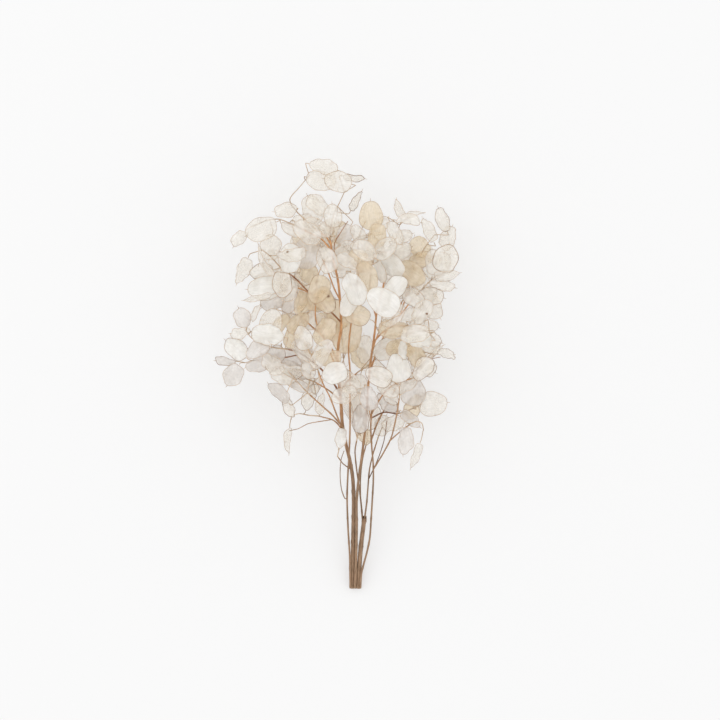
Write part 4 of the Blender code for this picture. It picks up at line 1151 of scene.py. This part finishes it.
def fine_pod(work, uv, pod, draw, tone):
    """A pod: its thin closed wall, the frame round it, its beak, threads and now and then a seed."""
    facing = abs(pod["matrix"].col[2].z)
    pod["crease"] = draw.uniform(*CREASE) * (CREASE_LEAST_SHARE + (1 - CREASE_LEAST_SHARE) * facing ** 2)
    pod["creases"] = draw.choice(CREASE_COUNTS)
    pod["dent"] = draw.uniform(*DENT) * (DENT_LEAST_SHARE + (1 - DENT_LEAST_SHARE) * facing ** 2)
    pod["nibble"] = draw.uniform(*NIBBLE)
    matrix = pod["matrix"]
    sheets = []
    for side in (1, -1):
        lift_off = Vector((0, 0, side * WALL / 2))
        middle = work.verts.new(matrix @ (outline_point(pod, 0, 0) + lift_off))
        rings = [[middle] * SECTORS]
        for share in RINGS[1:]:
            spots = [outline_point(pod, 2 * math.pi * sector / SECTORS, share) for sector in range(SECTORS)]
            rings.append([work.verts.new(matrix @ (spot + lift_off)) for spot in spots])
        sheets.append(rings)
    inverse = matrix.inverted()
    for rings in sheets:
        for inner, outer in zip(rings, rings[1:]):
            for sector in range(SECTORS):
                after = (sector + 1) % SECTORS
                corners = [inner[sector], outer[sector], outer[after], inner[after]]
                for loop in new_face(work, list(dict.fromkeys(corners)), tone).loops:
                    at = inverse @ loop.vert.co
                    loop[uv].uv = (at.x / UV_LENGTH + pod["seed"] * 50, at.y / UV_LENGTH + pod["seed"] * 90)
    front, back = sheets[0][-1], sheets[1][-1]
    for sector in range(SECTORS):
        after = (sector + 1) % SECTORS
        new_face(work, (front[sector], back[sector], back[after], front[after]), tone, False)
    frame_route = [matrix @ outline_point(pod, 2 * math.pi * sector / SECTORS) for sector in range(SECTORS)]
    slot = DARK_RIM if draw.random() < DARK_RIM_SHARE else RIM
    thick = draw.uniform(RIM_THIN, DARK_RIM_THICK if slot == DARK_RIM else RIM_THICK)
    ring_tube(work, frame_route, RIM_RADIUS * thick, slot)
    tip = outline_point(pod, 0)
    lean = draw.uniform(-STYLE_LEAN, STYLE_LEAN) * MM
    style = [
        matrix @ tip,
        matrix @ (tip + Vector((lean * 0.3, STYLE_LENGTH * 0.5, 0))),
        matrix @ (tip + Vector((lean, STYLE_LENGTH, lean * 0.6))),
    ]
    sweep(work, uv, {"points": style, "radii": STYLE_RADII}, STYLE_SIDES, RIM, draw, ridge=0.0)
    for thread in range(draw.choice(FUNICLE_COUNTS)):
        angle = draw.uniform(*FUNICLE_ANGLE) * draw.choice((-1, 1))
        reach = draw.uniform(*FUNICLE_REACH)
        route = [
            matrix @ outline_point(pod, angle * (1 - 0.1 * t), 1 - (1 - reach) * t)
            for t in (0, 0.5, 1)
        ]
        radii = [FUNICLE_RADIUS * 1.3, FUNICLE_RADIUS, FUNICLE_RADIUS * 0.8]
        sweep(work, uv, {"points": route, "radii": radii}, FUNICLE_SIDES, RIM, draw, ridge=0.0)
        if draw.random() < SEED_SHARE:
            flat_seed(work, pod, angle * 0.9, reach - 0.12)


def ring_tube(work, route, radius, slot):
    """A closed tube round a pod's outline."""
    count = len(route)
    rings = []
    middle = sum(route, Vector()) / count
    for index in range(count):
        along = (route[(index + 1) % count] - route[index - 1]).normalized()
        outward = route[index] - middle
        outward = (outward - along * outward.dot(along)).normalized()
        up = along.cross(outward)
        ring = []
        for side in range(RIM_SIDES):
            angle = 2 * math.pi * side / RIM_SIDES
            out = outward * math.cos(angle) + up * math.sin(angle)
            ring.append(work.verts.new(route[index] + out * radius))
        rings.append(ring)
    for ring, next_ring in zip(rings, rings[1:] + rings[:1]):
        for side in range(RIM_SIDES):
            after = (side + 1) % RIM_SIDES
            new_face(work, (ring[side], ring[after], next_ring[after], next_ring[side]), slot)


def flat_seed(work, pod, angle, share):
    """A flat brown seed still held on the wall."""
    spot = outline_point(pod, angle, share)
    turn = pod["matrix"] @ Matrix.Translation(spot + Vector((0, 0, SEED_RISE)))
    shape = Matrix.Diagonal((SEED_SIZE, SEED_SIZE * SEED_WIDTH_SHARE, SEED_THICKNESS, 1))
    made = bmesh.ops.create_uvsphere(work, u_segments=12, v_segments=8, radius=1.0, matrix=turn @ shape)
    for vert in made["verts"]:
        for face in vert.link_faces:
            face.material_index = SEED_COAT
            face.smooth = True


def shifted(route, offset):
    """A tube moved back by an offset."""
    return {"points": [point - offset for point in route["points"]], "radii": route["radii"]}


def fine_stem(name, routes, finishes, dark):
    """A stem with all its branches, of which some are dark."""
    draw = random.Random(f"{SEED} fine {name}")
    work = bmesh.new()
    uv = work.loops.layers.uv.new("UVMap")
    for number, route in enumerate(routes):
        if name == "stem_broken" and number == 0:
            rings = sweep(work, uv, route, BREAK_SIDES, WOOD, draw, True, True, BREAK_RIDGE)
            hollow_end(work, route, rings[-1], draw)
        else:
            sides = BRANCH_SIDES if number else STEM_SIDES
            sweep(work, uv, route, sides, DARK_WOOD if number in dark else WOOD, draw, True)
    return object_from(work, name + "_fine", finishes)


def stem_of(branch):
    """The stem that a branch belongs to."""
    while branch in BRANCHES:
        branch = BRANCHES[branch][0]
    return branch


def hollow_end(work, route, ring, draw):
    """The ragged lip of the snapped stem and its pith hole, whose near black finish is painted shade."""
    end, before = route["points"][-1], route["points"][-2]
    along = (end - before).normalized()
    lip = []
    for vert in ring:
        facing_up = (vert.co - end).normalized().z
        slant = along * (draw.uniform(-BREAK_RAGGED, BREAK_RAGGED) * MM - BREAK_SLANT * (1 + facing_up))
        across = vert.co - end
        vert.co += slant
        lip.append(work.verts.new(end + across * HOLLOW_SHARE + slant))
    deep = [work.verts.new(end + (vert.co - end) * HOLLOW_DEEP_SHARE - along * HOLLOW_FLOOR) for vert in lip]
    bottom = work.verts.new(end - along * (HOLLOW_FLOOR + BREAK_SLANT))
    count = len(ring)
    for side in range(count):
        after = (side + 1) % count
        new_face(work, (ring[side], ring[after], lip[after], lip[side]), WOOD, False)
        # The walls and floor of the hollow take the near black finish: painted shade
        new_face(work, (lip[side], lip[after], deep[after], deep[side]), PAINTED_SHADE_HOLE, False)
        new_face(work, (deep[side], deep[after], bottom), PAINTED_SHADE_HOLE, False)


def tone_of(name, pod, middle, draw):
    """Which finish a pod has: thin, white, tan or grey; near the middle of the head the tan is painted warm
    light through many layers.
    """
    for listed, finish in ((WHITE_PODS, WHITE), (TAN_AND_LAYER_LIGHT_PODS, TAN_AND_LAYER_LIGHT), (GREY_PODS, ASHEN)):
        if pod["number"] in listed.get(name, ()):
            return finish
    # Unlisted pods near the middle of the head take the tan finish: painted warm light through layers of
    # pods
    at = pod["matrix"].translation + middle
    column = at.x / PIXEL + MIDDLE_COLUMN
    row = MIDDLE_ROW - at.y / PIXEL
    away = math.hypot(column - PAINTED_LAYER_LIGHT_COLUMN, row - PAINTED_LAYER_LIGHT_ROW)
    return TAN_AND_LAYER_LIGHT if away < PAINTED_LAYER_LIGHT_REACH * draw.uniform(*PAINTED_LAYER_LIGHT_REACH_SPREAD) else THIN


def fine_spray(name, spray, finishes, middle):
    """A spray: its stalk, the small stalks of its pods and the pods."""
    draw = random.Random(f"{SEED} fine {name}")
    work = bmesh.new()
    uv = work.loops.layers.uv.new("UVMap")
    sweep(work, uv, spray["stalk"], STALK_SIDES, RIM, draw)
    for pod in spray["pods"]:
        points = pod["stalk"]["points"]
        radii = [TWIG_RADIUS] * (len(points) - 1) + [TWIG_END_RADIUS]
        sweep(work, uv, {"points": points, "radii": radii}, TWIG_SIDES, RIM, draw)
        fine_pod(work, uv, pod, draw, tone_of(name, pod, middle, draw))
    return object_from(work, name + "_fine", finishes)


def soft_light(name, place_at, aim_at, size, power):
    """A large square studio light."""
    light = bpy.data.lights.new(name, "AREA")
    light.size = size
    light.energy = power
    made = bpy.data.objects.new(name, light)
    made.location = place_at
    made.rotation_euler = (Vector(aim_at) - Vector(place_at)).to_track_quat("-Z", "Y").to_euler()
    bpy.context.scene.collection.objects.link(made)


def studio(middle):
    """Floor, lights and the camera above the bunch."""
    bpy.ops.mesh.primitive_plane_add(size=FLOOR_SIZE, location=(0, 0, FLOOR_LEVEL))
    floor = bpy.context.object
    floor.name = "floor"
    floor.data.materials.append(floor_material())
    world = bpy.data.worlds.new("studio")
    bpy.context.scene.world = world
    world.use_nodes = True
    sky = world.node_tree.nodes["Background"]
    sky.inputs["Color"].default_value = (1.0, 1.0, 1.0, 1.0)
    sky.inputs["Strength"].default_value = SKY_STRENGTH
    soft_light("key", KEY_PLACE, KEY_AIM, KEY_SIZE, KEY_POWER)
    camera_data = bpy.data.cameras.new("camera")
    camera_data.sensor_width = SENSOR
    camera_data.lens = SENSOR * (CAMERA_HEIGHT - VIEW_LEVEL) / (PHOTO_PIXELS * PIXEL)
    camera = bpy.data.objects.new("camera", camera_data)
    centre = Vector((PHOTO_PIXELS / 2 - MIDDLE_COLUMN, MIDDLE_ROW - PHOTO_PIXELS / 2, 0)) * PIXEL
    camera.location = (centre.x - middle.x, centre.y - middle.y, CAMERA_HEIGHT)
    camera.rotation_euler = (0, 0, 0)
    bpy.context.scene.collection.objects.link(camera)
    bpy.context.scene.camera = camera
    bpy.context.scene.view_settings.view_transform = "Standard"


def main():
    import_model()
    stems, sprays = layout()
    middle = middle_of(stems, sprays)
    studio(middle)
    made = {name: wood_material(name, *look) for name, look in WOODS.items()}
    made.update({name: paper_material(name, *look) for name, look in PAPERS.items()})
    made.update({name: rim_material(name, *look) for name, look in RIMS.items()})
    stem_finishes = [made[name] for name in STEM_FINISHES]
    spray_finishes = [made[name] for name in SPRAY_FINISHES]
    for name, routes in stems.items():
        own = [name] + [branch for branch in BRANCHES if stem_of(branch) == name]
        dark = [own.index(branch) for branch in DARK_BRANCHES if branch in own]
        piece = fine_stem(name, [shifted(route, middle) for route in routes], stem_finishes, dark)
        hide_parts(name)
        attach(piece, "root")
    for name, spray in sprays.items():
        spray["stalk"] = shifted(spray["stalk"], middle)
        for pod in spray["pods"]:
            pod["matrix"] = Matrix.Translation(-middle) @ pod["matrix"]
            pod["stalk"] = shifted(pod["stalk"], middle)
        piece = fine_spray(name, spray, spray_finishes, middle)
        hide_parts(name)
        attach(piece, "root")


main()
